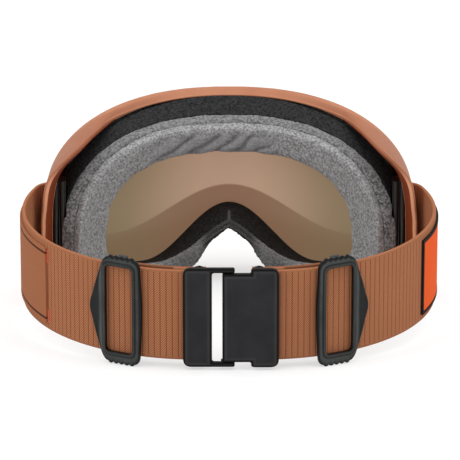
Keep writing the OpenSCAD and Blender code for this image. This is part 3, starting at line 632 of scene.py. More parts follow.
def grid_normals(grid):
    """Unit normals of a closed grid from its differences both ways, pointing outwards."""
    n = np.cross(np.roll(grid, -1, 1) - np.roll(grid, 1, 1), np.roll(grid, -1, 0) - np.roll(grid, 1, 0))
    n /= np.linalg.norm(n, axis=2, keepdims=True) + 1e-9
    return n * (1 if (grid * n).sum() > 0 else -1)


def soft_ring(name, loops, radii, size, node, slot, look, fuzz, lumps, seed, fill, form=None):
    """A ring of foam: its skin, with fine fuzz and soft lumps along the normals."""
    grid, place = skin(loops, radii, size)
    normal = grid_normals(grid)
    lift = fuzz * ripples(grid, 1.5, seed) + lumps * ripples(grid, 11, seed + 1)
    values = {}
    if form:
        more, values = form(grid, place)
        lift = lift + more
    grid = grid + normal * lift[..., None]
    return dress(make(name, grid, grid_faces(*grid.shape[:2]), values), look, "goggles", slot, node,
                 fill=fill)


# The pad's face is 29 mm behind the lens seat, the underside of the fleece 2.6 mm before it and
# that of the grey foam 7 mm. Each lies on an upright cylinder, with a radius and an axis.
face_back = AXIS_Y + SEAT_R - 29
MIDDLE_R, UNDER_R, FACE_R = 87.0, 80.0, 76.0
MIDDLE_Y, UNDER_Y, FACE_Y = face_back + 7 - MIDDLE_R, face_back + 2.6 - UNDER_R, face_back - FACE_R
inner_rear = soft_line("lens", "face", 0.73)
black_foam = pores(grey(55), grey(7, 0), 0.0010)
base_foam = soft_ring("base_foam_ring", [
    pull_in(wall_line(0.3), 3.2, 0.75), pull_in(wall_line(6.5), 3.2, 0.75),
    wrapped(toward(SOFT["bed"], SOFT["lens"], 1.2), RIM_R, RIM_AXIS + 0.6),
    wrapped(SOFT["bed"], RIM_R, RIM_AXIS - 0.3),
    wrapped(toward(SOFT["bed"], SOFT["lens"], 0.6), RIM_R, RIM_AXIS - 1.4),
    wrapped(SOFT["middle"], MIDDLE_R, MIDDLE_Y + 0.5), wrapped(inner_rear, MIDDLE_R, MIDDLE_Y + 0.5),
    on_lens(toward(SOFT["lens"], SOFT["core"], 0.45), -6),
    on_lens(toward(SOFT["lens"], SOFT["core"], 0.3), -3.3)],
    [0.4, 0.4, 0.6, 0.8, 0.6, 0.6, 1, 1, 0.3], 1.3, "base_foam", "black_foam", black_foam,
    0.05, 0.05, 11, 0.7)
wing_pocket = box(71, 91, wing_back - 16, 116, -3, 43)
cut(base_foam, *in_wings(wing_pocket))


def at_nose(root):
    """1 at the top of the nose, where the pad is bare black foam, and 0 beside it."""
    across = off_middle(root) + noise(root, 0.003) * 0.003
    return (1 - across.smooth(0.0105, 0.0165)) * (1 - height(root).smooth(0.042, 0.046))


def dimmed(colour, share):
    """That share of a colour."""
    return tuple(share * c for c in colour)


def grey_colour(root):
    """Foam with fibres: coarse grains of two greys, a little darker over the brow and black at the
    top of the nose."""
    light, dark = grey(156), grey(56)
    grain = noise(root, 0.0011, 2, 0.7).smooth(0.36, 0.64) * 0.8 + noise(root, 0.006) * 0.2
    brow = height(root).smooth(0.045, 0.07) * 0.3
    foam = brow.mix(grain.mix(dark, light), dimmed(light, 0.4))
    return {"Base Color": at_nose(root).mix(foam, grey(26))}


grey_foam = finish("grey_fibre_foam", grey_colour, lambda r: [(noise(r, 0.0008, 4, 0.7), 0.0003)],
                   Roughness=0.95, Sheen_Weight=0.25, Sheen_Roughness=0.6, Specular_IOR_Level=0.2)
middle_foam = soft_ring("middle_foam_ring", [
    wrapped(SOFT["middle"], MIDDLE_R, MIDDLE_Y),
    wrapped(soft_line("middle", "ridge", 0.64), UNDER_R, UNDER_Y + 0.3),
    wrapped(soft_line("lens", "face", 0.9), UNDER_R, UNDER_Y + 0.3),
    wrapped(inner_rear, MIDDLE_R, MIDDLE_Y)],
    [0.9, 0.9, 0.8, 0.8], 0.9, "middle_foam", "grey_foam", grey_foam, 0.13, 0.1, 21, 0.7)
anchor_room = box(71.2, 77.6, 103.6, 112.4, -1.3, 41.3)
cut(middle_foam, *in_wings(anchor_room))


def fleece_form(grid, place):
    """The fleece's pile: a raised fuzzy ridge, and soft slanting wrinkles over the brow, which
    are ridged sines that fade out to both sides and along the slope."""
    x, z, on_slope = grid[..., 0], grid[..., 2], place[:, None]
    ridge = np.exp(-((on_slope - 1.25) / 0.42) ** 2) * np.ones_like(x)
    brow = (rise(z, 50, 58) * (1 - rise(np.abs(x + 7), 20, 33)) * rise(on_slope, 1.7, 2.6)
            * (1 - rise(on_slope, 4.2, 5.1)))
    slant = 0.3 * x - 0.38 * z + 0.7 * np.sin(x / 9) + 0.5 * ripples(grid, 14, 37)
    wave = np.abs(np.sin(slant)) ** 0.6 - 0.72
    pile = 0.22 * ripples(grid, 1.3, 35, 40) * ridge
    # ridge also marks where the fleece's colour gets a painted highlight, and fold where it gets painted
    # shade.
    return 0.95 * brow * wave + pile, {"ridge": ridge, "brow": brow, "fold": brow * rise(-wave, -0.12, 0.3)}


def fleece_colour(root):
    """Light grey pile, with a painted highlight along the ridge and painted shade in the folds,
    darker at the feet beside the nose, and black at the top of the nose."""
    fibre = noise(root, 0.001, 3, 0.75).smooth(0.34, 0.66)
    body = fibre.mix(grey(104), grey(172))
    body = (marked(root, "brow") * 0.6).mix(body, grey(142))
    # Painted highlight along the ridge.
    ridge_highlight = fibre.mix(grey(116), grey(190, 2))
    pile = (marked(root, "ridge") * 0.8).mix(body, ridge_highlight)
    # Painted shade in the brow's folds.
    pile = (marked(root, "fold") * 0.6).mix(pile, grey(70))
    foot = (1 - off_middle(root).smooth(0.02, 0.036)) * (1 - height(root).smooth(0.012, 0.024))
    pile = (foot * 0.75).mix(pile, fibre.mix(grey(72), grey(94)))
    return {"Base Color": at_nose(root).mix(pile, grey(26))}


fleece = finish("face_fleece", fleece_colour,
                lambda r: [(noise(r, 0.0006, 5, 0.75), 0.00035), (noise(r, 0.005, 2), 0.0006)],
                Roughness=1.0, Sheen_Weight=0.35, Sheen_Roughness=0.5, Specular_IOR_Level=0.15)
# Each loop of the slope from the ridge to the face opening: its share of the way and its lift
slope = [wrapped(soft_line("ridge", "face", share), FACE_R, FACE_Y + lift) for share, lift in (
    (0, 0.6), (0.14, -1), (0.5, -0.6), (0.86, -0.3), (1, 1.2))]
soft_ring("face_fleece_ring", [wrapped(soft_line("middle", "ridge", 0.7), UNDER_R, UNDER_Y), *slope,
                               wrapped(soft_line("lens", "face", 0.92), UNDER_R, UNDER_Y)],
          [0.6, 1.4, 3, 5, 2, 1.2, 0.6], 0.62, "face_fleece", "grey_fleece", fleece, 0.1, 0.2, 31, 0.6,
          fleece_form)


def vent_strips(name, node, *runs):
    """Foam strips along runs of stations behind the vents, with closed ends. A corner of their
    section is given behind the flange and in from the wall."""
    corners = [pull_in(wall_line(behind), inwards)
               for behind, inwards in ((0.3, 0.3), (6.2, 0.3), (6.2, 2.9), (0.3, 2.9))]
    strips = [np.stack([c[np.arange(first, last + 1) % len(c)] for c in corners], 1)
              for first, last in runs]
    piece = make(name, *joined([(s.reshape(-1, 3), tube_faces(*s.shape[:2])) for s in strips]))
    dress(piece, black_foam, "goggles", "vent_foam", node, fill=0.8)


vent_strips("vent_foam_brow", "vent_foam_top", (-90, 90))
vent_strips("vent_foam_cheeks", "vent_foam_bottom", (240, 300), (-300, -240))

# ---------------------------------------------------------------- Anchors
# Each end of the webbing is held in a moulded bar that snaps into the wing. Two round ribs with a
# groove between them run down its rear, and a small lip tops it.


def anchor_bar(side, look):
    """A merged copy of the CAD anchor with its edges rounded. Its attribute flat is how squarely the
    surface faces the front or the rear, |n . y|, smoothed. Where flat is low, the plastic is painted near
    black as shade."""
    work = bmesh.new()
    work.from_mesh(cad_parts[f"anchor_{side}"].data)
    bmesh.ops.remove_doubles(work, verts=work.verts, dist=2e-6)
    bmesh.ops.dissolve_limit(work, angle_limit=math.radians(1.5), verts=work.verts, edges=work.edges)
    points = np.array([v.co for v in work.verts]) * 1000
    faces = [[v.index for v in f.verts] for f in work.faces]
    work.free()
    piece = make(f"anchor_{side}_bar", points, faces)
    edge = piece.modifiers.new("rounded edges", "BEVEL")
    edge.width, edge.segments, edge.profile = 0.0006, 3, 0.5
    edge.limit_method, edge.angle_limit = "ANGLE", math.radians(35)
    settle(piece, 32)
    flat = rise(np.abs(vectors(piece, "normal")[:, 1]), 0.72, 0.985).astype(np.float32)
    piece.data.attributes.new("flat", "FLOAT", "POINT").data.foreach_set("value", flat)
    dress(piece, look, "goggles", "black_moulding", f"anchor_{side}")


def on_piece(root, axis):
    """A number of the piece's own UV, in millimetres."""
    return root.node("ShaderNodeUVMap", {"uv_map": "along"}).part(axis)


def plastic(name, shades, **constants):
    """Satin moulded plastic: the given colour, fine grain and uneven gloss."""
    return finish(name, shades, lambda r: [(noise(r, 0.0004, 3), 0.00005)], **constants)


def moulding(name, colour, light, wing=None, **constants):
    """Plastic with faint clouds of colour and rounded edges painted darker as shade. A slider's thumb
    wing is painted darker as shade in its dish, with a soft painted highlight where it leaves the rim."""
    def shades(root):
        clouds = (noise(root, 0.012, 2).smooth(0.3, 0.7) * 0.6
                  + noise(root, 0.0007, 3, 0.7).smooth(0.35, 0.65) * 0.4)
        face = clouds.mix(colour, light)
        # The thumb wing is painted darker as shade in its dish, with a painted highlight where it leaves
        # the rim.
        if wing:
            x = on_piece(root, "X")
            painted_gleam = (x.smooth(4.9, 6.2) * 0.35).mix(face, srgb(104, 107, 106))
            face = x.smooth(6.6, 8.2).mix(painted_gleam, wing)
        # Painted shade: near black on the rounded edges, where flat is low.
        return {"Base Color": marked(root, "flat").mix(dimmed(colour, 0.12), face),
                "Roughness": 0.28 + noise(root, 0.0015, 4) * 0.14}

    return plastic(name, shades, **constants)


anchor_plastic = moulding("anchor_plastic", grey(34, 0), grey(42, 0))
for side in ("left", "right"):
    anchor_bar(side, anchor_plastic)

# ---------------------------------------------------------------- Webbing
# Woven elastic 40 mm wide. Its ribs run across the width, 2.56 mm apart, each a row of slanting
# threads with a dark groove beside it, and a plain selvedge closes both edges.

PITCH = 2.56


def arc(c, r, a, b, step=1.0):
    """Points of an arc about c, in degrees from a to b."""
    return circle(c, r, np.radians(np.linspace(a, b, int(abs(b - a) / step) + 2)))


def run(*parts):
    """Parts of a path, one after the other, without repeated points."""
    path = np.concatenate(parts)
    return path[np.r_[True, np.linalg.norm(np.diff(path, axis=0), axis=1) > 1e-3]]


# The clip's bars are BAR_X from the middle, with the webbing folded round them FOLD_IN inside the
# loop. The right webbing bends at the angle BEND of the loop, and each slider sits at SLIDER. The
# returns lie inside the layers of the outer run, a gap from each.
FOLD_IN, BAR_X, BEND, SLIDER, LAYER_GAP = 1.7, 12.4, 12.0, 26.2, 0.3
fold_out = FOLD_IN + WEB_T
outer_mid = LOOP_R - WEB_T / 2
inner_mid = outer_mid - 2 * fold_out + WEB_T
return_mid, flap_mid = inner_mid - WEB_T - LAYER_GAP, outer_mid - WEB_T - LAYER_GAP
bar_mid = (return_mid + flap_mid) / 2


def frame_path(a, in_anchor=4.2):
    """From inside the anchor round the turn and the loop to an angle along it."""
    mid = TURN_R - WEB_T / 2
    start = TURN_CENTRE + mid * unit(TURN_END) + in_anchor * unit(TURN_END + 90)
    return run([start], arc(TURN_CENTRE, mid, TURN_END, TURN_IN + 2, 3),
               arc(LOOP_CENTRE, outer_mid, TURN_IN, a - 90))


def clip_path(a):
    """From an angle along the loop to the clip's bar, round it and back inside for 8 degrees."""
    return run(arc(LOOP_CENTRE, outer_mid, a - 90, -90),
               arc((BAR_X, fold_out), fold_out - WEB_T / 2, -90, -270, 6),
               arc(LOOP_CENTRE, inner_mid, -90, 8 - 90))


def return_path():
    """From 3 degrees past the middle, under the fold, round the slider's bar and 5 degrees into
    its sewn flap."""
    return run(arc(LOOP_CENTRE, return_mid, -93, SLIDER - 90),
               arc(LOOP_CENTRE + bar_mid * unit(SLIDER - 90), (flap_mid - return_mid) / 2,
                   SLIDER + 80, SLIDER - 80, 6),
               arc(LOOP_CENTRE, flap_mid, SLIDER - 90, SLIDER - 95))


def ribbon(path, trims):
    """Webbing along a path: at each place s along it, a rounded rectangle 1.6 by 40 mm. Its two
    faces lie a groove of depth * (1 - |sin(pi s / pitch)|^0.7) deep, which fades in the
    selvedges. Trims are (place in the path 0..1, millimetres off each edge) pairs. Gives points,
    UV in millimetres along and across, and 1 on the inner face."""
    step, depth, r, half = 0.2, 0.12, 0.55, WEB_T / 2
    s = np.r_[0, np.cumsum(np.linalg.norm(np.diff(path, axis=0), axis=1))]
    at = np.linspace(0, s[-1], int(s[-1] / step) + 2)
    line = np.stack([np.interp(at, s, path[:, i]) for i in (0, 1)], 1)
    way = np.pad(np.gradient(line, axis=0), ((3, 3), (0, 0)), "edge")
    way = np.stack([np.convolve(way[:, i], np.ones(7) / 7, "valid") for i in (0, 1)], 1)
    way /= np.linalg.norm(way, axis=1, keepdims=True)
    normal = np.stack([-way[:, 1], way[:, 0]], 1)
    z = np.r_[np.linspace(r, 3, 4), np.linspace(6, WEB_W - 6, 6), np.linspace(WEB_W - 3, WEB_W - r, 4)]
    c = np.linspace(0, np.pi / 2, 4)[1:-1]
    d = np.r_[half + 0 * z, half - r + r * np.cos(c), half - r, r - half, r - half - r * np.sin(c),
              -half + 0 * z, r - half - r * np.cos(c), r - half, half - r, half - r + r * np.sin(c)]
    across = np.r_[z, WEB_W - r + r * np.sin(c), WEB_W, WEB_W, WEB_W - r + r * np.cos(c), z[::-1],
                   r - r * np.sin(c), 0, 0, r - r * np.cos(c)]
    rib = np.abs(np.sin(np.pi * at / PITCH)) ** 0.7
    face = np.clip(np.abs(d) - (half - r), 0, r) / r * rise(np.minimum(across, WEB_W - across), 0.5, 2.4)
    d2 = d[None, :] - np.sign(d)[None, :] * depth * (1 - rib)[:, None] * face[None, :]
    xy = line[:, None, :] + normal[:, None, :] * d2[..., None]
    trim = np.interp(at / s[-1], *zip(*trims))
    z = WEB_W / 2 + (across - WEB_W / 2)[None, :] * (1 - trim / (WEB_W / 2))[:, None]
    grid = np.concatenate([xy, z[..., None]], 2)
    uv = np.stack(np.broadcast_arrays(at[:, None], across[None, :]), -1)
    return grid, uv, rise(-d, 0.2, 0.6)[None, :] * np.ones((len(at), 1))


def blended(a, b, share):
    """The colour that share of the way from a to b."""
    return tuple((1 - share) * x + share * y for x, y in zip(a, b))


def weave(name, light, dark, wear):
    """The material of webbing: light slanting threads on each rib, dark in the grooves, a plain
    selvedge at each edge, worn patches, and painted shade that makes the inner face slightly darker."""
    def ribs(root, thread_across=1.05, thread_along=1.0):
        along, across = on_piece(root, "X"), on_piece(root, "Y")
        rib = (along * (math.pi / PITCH)).sum("SINE").sum("ABSOLUTE")
        slant = across * (2 * math.pi / thread_across) + along * (2 * math.pi / thread_along)
        thread = slant.sum("SINE") * 0.5 + 0.5
        return rib, thread

    def colour(root):
        rib, thread = ribs(root)
        across = on_piece(root, "Y")
        edge = across.smooth(0.5, 1.5) * (WEB_W - across).smooth(0.5, 1.5)
        top = thread.smooth(0.2, 0.8).mix(blended(light, dark, 0.75), light)
        body = rib.smooth(0.02, 0.36).mix(dark, top)
        worn = (noise(root, 0.02, 3).smooth(0.3, 0.7) * 0.2).mix(body, wear)
        cloth = edge.mix(blended(dark, light, 0.5), worn)
        # Painted shade on the inner face.
        return {"Base Color": (marked(root, "inner") * 0.08).mix(cloth, dimmed(dark, 0.5))}

    def bumps(root):
        rib, thread = ribs(root)
        return [(thread * rib, 0.00012), (noise(root, 0.0004, 3), 0.00006)]

    return finish(name, colour, bumps, Roughness=0.9, Specular_IOR_Level=0.12)


def webbing(name, path, side, bodies, nodes, look, trims):
    """A run of webbing on its body, with both cut ends closed. Over the clip's joint it is given no
    body, and the points 3 mm to each side of the bend are worked out but not used."""
    grid, uv, inner = ribbon(path, trims)
    points = on_strap(grid).reshape(-1, 3) * [side, 1, 1]
    uv = (uv * [side, 1]).reshape(-1, 2)
    piece = make(name, points, tube_faces(*grid.shape[:2]), {"inner": inner}, uv, 60)
    if len(bodies) == 2:
        bend = LOOP_CENTRE + outer_mid * unit(BEND - 90)
        ends = [[*(bend + d * unit(BEND)), WEB_W / 2] for d in (3, -3)]
        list((on_strap(ends) / 1000).tolist())
        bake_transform(piece)
    return dress(piece, look, bodies[0] if len(bodies) == 1 else None, "webbing", *nodes)


strap_weave = weave("strap_weave", srgb(204, 138, 98), srgb(116, 62, 40), srgb(158, 100, 70))
# The returns get a darker copy of the webbing as painted shade between the layers.
return_weave_shaded = weave("return_weave_shaded", srgb(176, 118, 84), srgb(100, 56, 37), srgb(140, 90, 62))
outer_run = run(frame_path(BEND + 1), clip_path(BEND))
fold_trim = ((0, 0), (0.9, 0), (0.93, 0.9), (1, 0.9))
strap_left = webbing("webbing_left", outer_run, -1, ["goggles"], ["strap_left"], strap_weave, fold_trim)
strap_right = webbing("webbing_right", outer_run, 1, ["goggles", "clip_side"],
                      ["strap_right", "strap_clip_side"], strap_weave, fold_trim)
for side, sign in (("left", -1), ("right", 1)):
    webbing(f"webbing_return_{side}", return_path(), sign, [f"slider_{side}_set"],
            [f"strap_return_{side}"], return_weave_shaded, ((0, 1.2), (1, 1.2)))

# ---------------------------------------------------------------- Sliders
# A moulded plate with a tall window that shows the webbing, a dished thumb wing on its outer
# side, a low rim round the window and small teeth top and bottom. The returned webbing is sewn
# round a bar behind it.


def rounded_outline(corners, radii, size):
    """A closed outline in X and Z with its corners rounded, in steps of a size."""
    return skin([np.array([[x, 0.0, z]]) for x, z in corners], radii, size, 9)[0][:, 0, [0, 2]]


def both_ends(corners, middle):
    """The corners of a lower end, and of an upper end that mirrors it about a middle height."""
    return corners + [(x, 2 * middle - z) for x, z in corners[::-1]]


def polar(flat, centre, angles, stretch=2.0):
    """An outline at given angles about a centre, measured where heights are divided by stretch."""
    p = (flat - centre) / [1, stretch]
    angle, reach = np.arctan2(p[:, 1], p[:, 0]), np.hypot(p[:, 0], p[:, 1])
    order = np.argsort(angle)
    r = np.interp(angles, angle[order], reach[order], period=2 * np.pi)
    return np.stack([r * np.cos(angles), r * np.sin(angles) * stretch], 1) + centre


def rod(x, y, z0, z1, r, sides=32, chamfer=0.3):
    """An upright rod with closed ends."""
    a = np.linspace(0, 2 * np.pi, sides, endpoint=False)
    rings = ((r - chamfer, z0), (r, z0 + chamfer), (r, z1 - chamfer), (r - chamfer, z1))
    points = [np.insert(circle((x, y), q, a), 2, z, 1) for q, z in rings]
    return np.concatenate(points), tube_faces(len(rings), sides)


def hardware(name, blocks, flats, put, look, slot, body, node):
    """A moulded piece of several closed blocks, put in place. Flats is 1 on each block's faces and
    0 on its edges, where the plastic is painted darker as shade, and the UV is the plate's own x and z in
    millimetres."""
    points, faces = joined([outwards(*block) for block in blocks])
    flat = np.concatenate([np.broadcast_to(f, len(p)) for f, (p, _) in zip(flats, blocks)])
    piece = make(name, put(points), faces, {"flat": flat}, points[:, [0, 2]], 50)
    turn_outwards(piece)
    dress(piece, look, body, slot, node)


def slider_blocks():
    """The plate, its bar and the two posts, about the middle of the plate, and their flats. The
    plate's front is pressed in by up to 1 mm at the thumb wing, smoothly in x and z."""
    corners = both_ends([(-9.6, -23.4), (4.4, -23.4), (6.2, -21.2), (12.5, -1.6)], 0)
    body = rounded_outline([*corners, (-11.2, 21.4), (-12.4, 0), (-11.2, -21.4)],
                           [1.6, 1.2, 2, 1.6, 1.6, 2, 1.2, 1.6, 1.6, 8, 1.6], 0.25)
    x, z = body.T
    teeth = rise(x, -9, -8.2) * (1 - rise(x, 3, 3.8)) * (np.abs(z) > 22)
    body[:, 1] += np.sign(z) * teeth * 0.85 * np.abs(np.sin(np.pi * 5 * (x + 8.8) / 12.4)) ** 0.8
    angles = np.linspace(-np.pi, np.pi, 420, endpoint=False)
    centre = np.array([-1.8, 0])
    body = polar(body, centre, angles)
    back, front = -LOOP_R - 0.3, -LOOP_R - 2.5

    def window(d):
        left, right, low, high = -7.9 - d, 4.3 + d, -18.6 - d, 19.6 + d
        corners = [(left, low), (right, low), (right, high), (left, high)]
        return polar(rounded_outline(corners, [2 + d] * 4, 0.25), centre, angles)

    def at(flat, y):
        x, z = flat.T
        dish = rise(x, 7, 12.5) * (1 - rise(np.abs(z), 5, 13)) if y < back else 0
        return np.stack([x, y + dish + 0 * x, z], 1)

    grid, place = skin([at(body, back), at(body, front + 0.35), at(window(1.7), front + 0.35),
                        at(window(1.2), front), at(window(0.1), front), at(window(0.35), back)],
                       [0.6, 1.1, 0.4, 0.3, 0.4, 0.3], 1.0, 7)
    # flat is low where the slider is painted darker as shade: round the plate's outer edge and about the
    # window.
    flat = np.interp(place, [-0.2, 1.1, 1.3, 1.75, 1.95, 2.9, 3.1, 3.7, 3.95, 6],
                     [0, 0, 1, 1, 0.15, 0.2, 0.75, 0.75, 0, 0])
    plate = (grid.reshape(-1, 3), grid_faces(*grid.shape[:2]))
    bar = rod(0, -70.8, -21.9, 21.9, 1.4)
    posts = [box(-1.9, 1.9, -76.6, -69.5, *ends) for ends in ((-21.8, -20.3), (20.3, 21.8))]
    return [plate, bar, *posts], [np.repeat(flat, grid.shape[1]), 0.6, 0.5, 0.5]


def slider_place(side):
    """Where the slider's points go: round the loop by its angle, on the strap, on one side."""
    return lambda points: on_strap(turned(points, SLIDER) + [FLAT_HALF, LOOP_R, WEB_W / 2]) * [side, 1, 1]


# The last colour is the thumb wing's, painted darker as shade in its dish.
slider_plastic = moulding("slider_plastic", srgb(52, 55, 54), srgb(78, 81, 80), srgb(27, 29, 29),
                          Specular_IOR_Level=0.16)
for side, sign in (("left", -1), ("right", 1)):
    hardware(f"slider_{side}_plate", *slider_blocks(), slider_place(sign), slider_plastic,
             "slider_moulding", f"slider_{side}_set", f"slider_{side}")

# ---------------------------------------------------------------- Clip
# Two moulded halves: the left one is a plate with two arms and a cross bar, and the right one
# hooks over the bar with a lip. The webbing is sewn round a bar on each.


def slab(edge, lo, hi, r=0.5):
    """A plate between two depths whose edges are quarter circles: at an angle t its outline is
    drawn in by r (1 - sin t) and lies r (1 - cos t) from a face. Gives the block and its flats."""
    way = np.roll(edge, -1, 0) - np.roll(edge, 1, 0)
    x, z = edge.T
    turn = 1 if (x * np.roll(z, -1) - z * np.roll(x, -1)).sum() > 0 else -1
    inward = turn * np.stack([-way[:, 1], way[:, 0]], 1) / np.linalg.norm(way, axis=1, keepdims=True)
    t = np.linspace(0, np.pi / 2, 6)
    drawn = np.r_[r + 0.1, r * (1 - np.sin(t)), r * (1 - np.sin(t))[::-1], r + 0.1]
    depth = np.r_[lo, lo + r * (1 - np.cos(t)), (hi - r * (1 - np.cos(t)))[::-1], hi]
    rows = [np.insert(edge + inward * d, 1, y, axis=1) for d, y in zip(drawn, depth)]
    m, n = len(rows), len(x)
    face = rows[0][:, [0, 2]]
    cap = np.array(tessellate_polygon([[Vector((px, pz, 0)) for px, pz in face]]))
    a, b, c = (face[cap[:, i]] for i in range(3))
    if np.cross(b - a, c - a).sum() < 0:
        cap = cap[:, ::-1]
    faces = [*grid_faces(m, n, False), *cap[:, ::-turn], *(cap[:, ::turn] + (m - 1) * n)]
    return (np.concatenate(rows), faces), np.repeat(np.r_[1, 0.3, np.zeros(m - 4), 0.3, 1], n)


def clip_plastic(name, fields):
    """Plastic whose rounded edge is painted near black as shade, with a painted highlight as a lighter
    line just inside it. The way in from the edge is the largest, over the plate's rectangles, of the
    least of x - x0, x1 - x, z - z0 and z1 - z."""
    def shades(root):
        x, z = on_piece(root, "X"), on_piece(root, "Y")
        way_in = None
        for x0, x1, z0, z1 in fields:
            least = (x - x0).sum("MINIMUM", x1 - x).sum("MINIMUM", z - z0).sum("MINIMUM", z1 - z)
            way_in = way_in.sum("MAXIMUM", least) if way_in else least
        face = noise(root, 0.012, 2).smooth(0.3, 0.7).mix(grey(39, 2), grey(46, 2))
        # Painted highlight: a lighter line just inside the edge.
        line = way_in.smooth(0.95, 1.2) * (1 - way_in.smooth(1.3, 2.6))
        body = (line * 0.45).mix(face, grey(66, 2))
        # Painted shade: near black at the rounded edge.
        top = way_in.smooth(0.65, 1.05) * marked(root, "flat").smooth(0.5, 0.8)
        return {"Base Color": top.mix(grey(6), body),
                "Roughness": 0.34 + noise(root, 0.0015, 4) * 0.14}

    return plastic(name, shades, Specular_IOR_Level=0.12)


def clip_half(name, corners, radii, rear, extra, body, node, fields):
    """One half of the clip: its 2.4 mm plate, whose corners are given for its lower end, and the
    parts behind it."""
    edge = rounded_outline(both_ends(corners, WEB_W / 2), radii + radii[::-1], 0.6)
    plate, flat = slab(edge, rear, rear + 2.4)
    hardware(name, [plate, *extra], [flat] + [0.4] * len(extra), on_strap,
             clip_plastic(name + "_plastic", fields), "clip_moulding", body, node)


def bar_block(x):
    """The bar for the webbing and its cheeks, on one side."""
    cheeks = [box(x - 1.7, x + 1.7, -1.2, 3.6, *ends) for ends in ((-1.2, -0.2), (40.1, 40.7))]
    return [rod(x, fold_out, -1.2, 40.7, 1.4), *cheeks]


cross_bar = [rod(-0.4, 0.55, -1.2, 40.6, 1.3), box(-3.4, 2.0, -1.4, 1.8, -1.8, -0.1),
             box(-3.4, 2.0, -1.4, 1.2, 39.9, 40.7)]
clip_half("clip_loop_half", [(-19.2, -2), (2.4, -2), (2.4, 0), (-7.1, 0)], [3.6, 0.9, 0.8, 1.2], -3.0,
          cross_bar + bar_block(-BAR_X), "goggles", "clip_loop",
          [(-19.2, -7.1, -2, CLIP_TOP), (-19.2, 2.4, -2, 0), (-19.2, 2.4, WEB_W, CLIP_TOP)])
hook_lip = [box(-2.7, -1.9, -1.8, 1.85, 0.8, 39.2)]
clip_half("clip_hook_half", [(-2.8, 0.3), (9.2, 0.3), (9.2, -2), (20.8, -2)], [0.8, 0.9, 1.5, 3.6],
          -CLIP_REAR, hook_lip + bar_block(BAR_X), "clip_side", "clip_hook",
          [(-2.8, 20.8, 0.3, 39.7), (9.2, 20.8, -2, CLIP_TOP)])

# ---------------------------------------------------------------- Patches
# Woven patches sewn flat on the webbing outside the sliders. The left one is rust with a dark line
# along each edge, and the right one has an orange field in a black border. Both are left bare.


def band(a0, a1, z0, z1, lift, side):
    """A grid on the strap's outer face from angle a0 to a1 and z0 to z1, with its UV."""
    angle, z = np.linspace(a0, a1, 90), np.linspace(z0, z1, 52)
    x, y = circle(LOOP_CENTRE, LOOP_R + lift, np.radians(angle - 90)).T
    grid = np.stack(np.broadcast_arrays(x[:, None], y[:, None], z[None, :]), -1)
    along = np.radians(angle) * (LOOP_R + lift)
    uv = np.stack(np.broadcast_arrays(along[:, None], z[None, :]), -1)
    return on_strap(grid) * [side, 1, 1], uv


def patch(name, a0, a1, z0, z1, side, node, slot, look, thick, hole=0.0, gap=0.12):
    """A woven patch as a thin slab just off the webbing, with an opening where a hole's rim is
    given. Gives the piece and its flat size in metres."""
    outer, uv = band(a0, a1, z0, z1, gap + thick, side)
    inner, _ = band(a0, a1, z0, z1, gap, side)
    m, n = outer.shape[:2]
    keep = grid_faces(m, n, False, False)
    if hole:
        s = uv[..., 0] - uv[0, 0, 0]
        solid = ((np.minimum(s, s[-1, 0] - s) < hole)
                 | (np.minimum(uv[..., 1] - z0, z1 - uv[..., 1]) < hole))
        keep = keep[solid.ravel()[keep].all(axis=1)]
    edges = np.concatenate([keep[:, [0, 1]], keep[:, [1, 2]], keep[:, [2, 3]], keep[:, [3, 0]]])
    key = edges[:, 0] * (m * n) + edges[:, 1]
    free = edges[~np.isin(key, edges[:, 1] * (m * n) + edges[:, 0])]
    under = keep[:, ::-1] + m * n
    walls = np.stack([free[:, 1], free[:, 0], free[:, 0] + m * n, free[:, 1] + m * n], 1)
    used, index = np.unique(np.concatenate([keep, under, walls]), return_inverse=True)
    points = np.concatenate([outer.reshape(-1, 3), inner.reshape(-1, 3)])[used]
    piece = make(name, points, index.reshape(-1, 4), None, np.concatenate([uv.reshape(-1, 2)] * 2)[used])
    return (dress(piece, look, "goggles", slot, node),
            ((z1 - z0) / 1000, float(np.ptp(uv[..., 0])) / 1000))


def plain_weave(name, light, dark, lines=(), line_colour=None):
    """Fine plain weave: the product of two sines as threads, and dark lines at given heights."""
    def threads(root, pitch=0.75):
        turns = 2 * math.pi / pitch
        return (on_piece(root, "X") * turns).sum("SINE") * (on_piece(root, "Y") * turns).sum("SINE")

    def colour(root):
        cloth = (threads(root) * 0.5 + 0.5).mix(dark, light)
        for at in lines:
            off = (on_piece(root, "Y") - at).sum("ABSOLUTE")
            cloth = (1 - off.smooth(0.35, 0.75)).mix(cloth, line_colour)
        return {"Base Color": cloth}

    return finish(name, colour, lambda r: [(threads(r), 0.00006), (noise(r, 0.0005), 0.00006)],
                  Roughness=0.8, Specular_IOR_Level=0.12)


rust = plain_weave("rust_weave", srgb(188, 122, 84), srgb(148, 90, 60), (5.2, 34.8), srgb(84, 44, 30))
black = plain_weave("black_weave", srgb(40, 38, 37), srgb(20, 19, 19))
orange = plain_weave("orange_weave", srgb(255, 112, 46), srgb(238, 82, 28))
patch_left, size = patch("patch_left_cloth", 57, 101, 3, 37, -1, "patch_left", "patch_rust", rust, 0.8)
patch_border, _ = patch("patch_right_rim", 64.5, 100.5, 3, 37, 1, "patch_right_border", "patch_black",
                        black, 0.85, 1.45)
in_border = math.degrees(math.asin(1.5 / LOOP_R))
patch_field, size = patch("patch_right_cloth", 64.5 + in_border, 100.5 - in_border, 4.5, 35.5, 1,
                          "patch_right_field", "patch_orange", orange, 0.7)


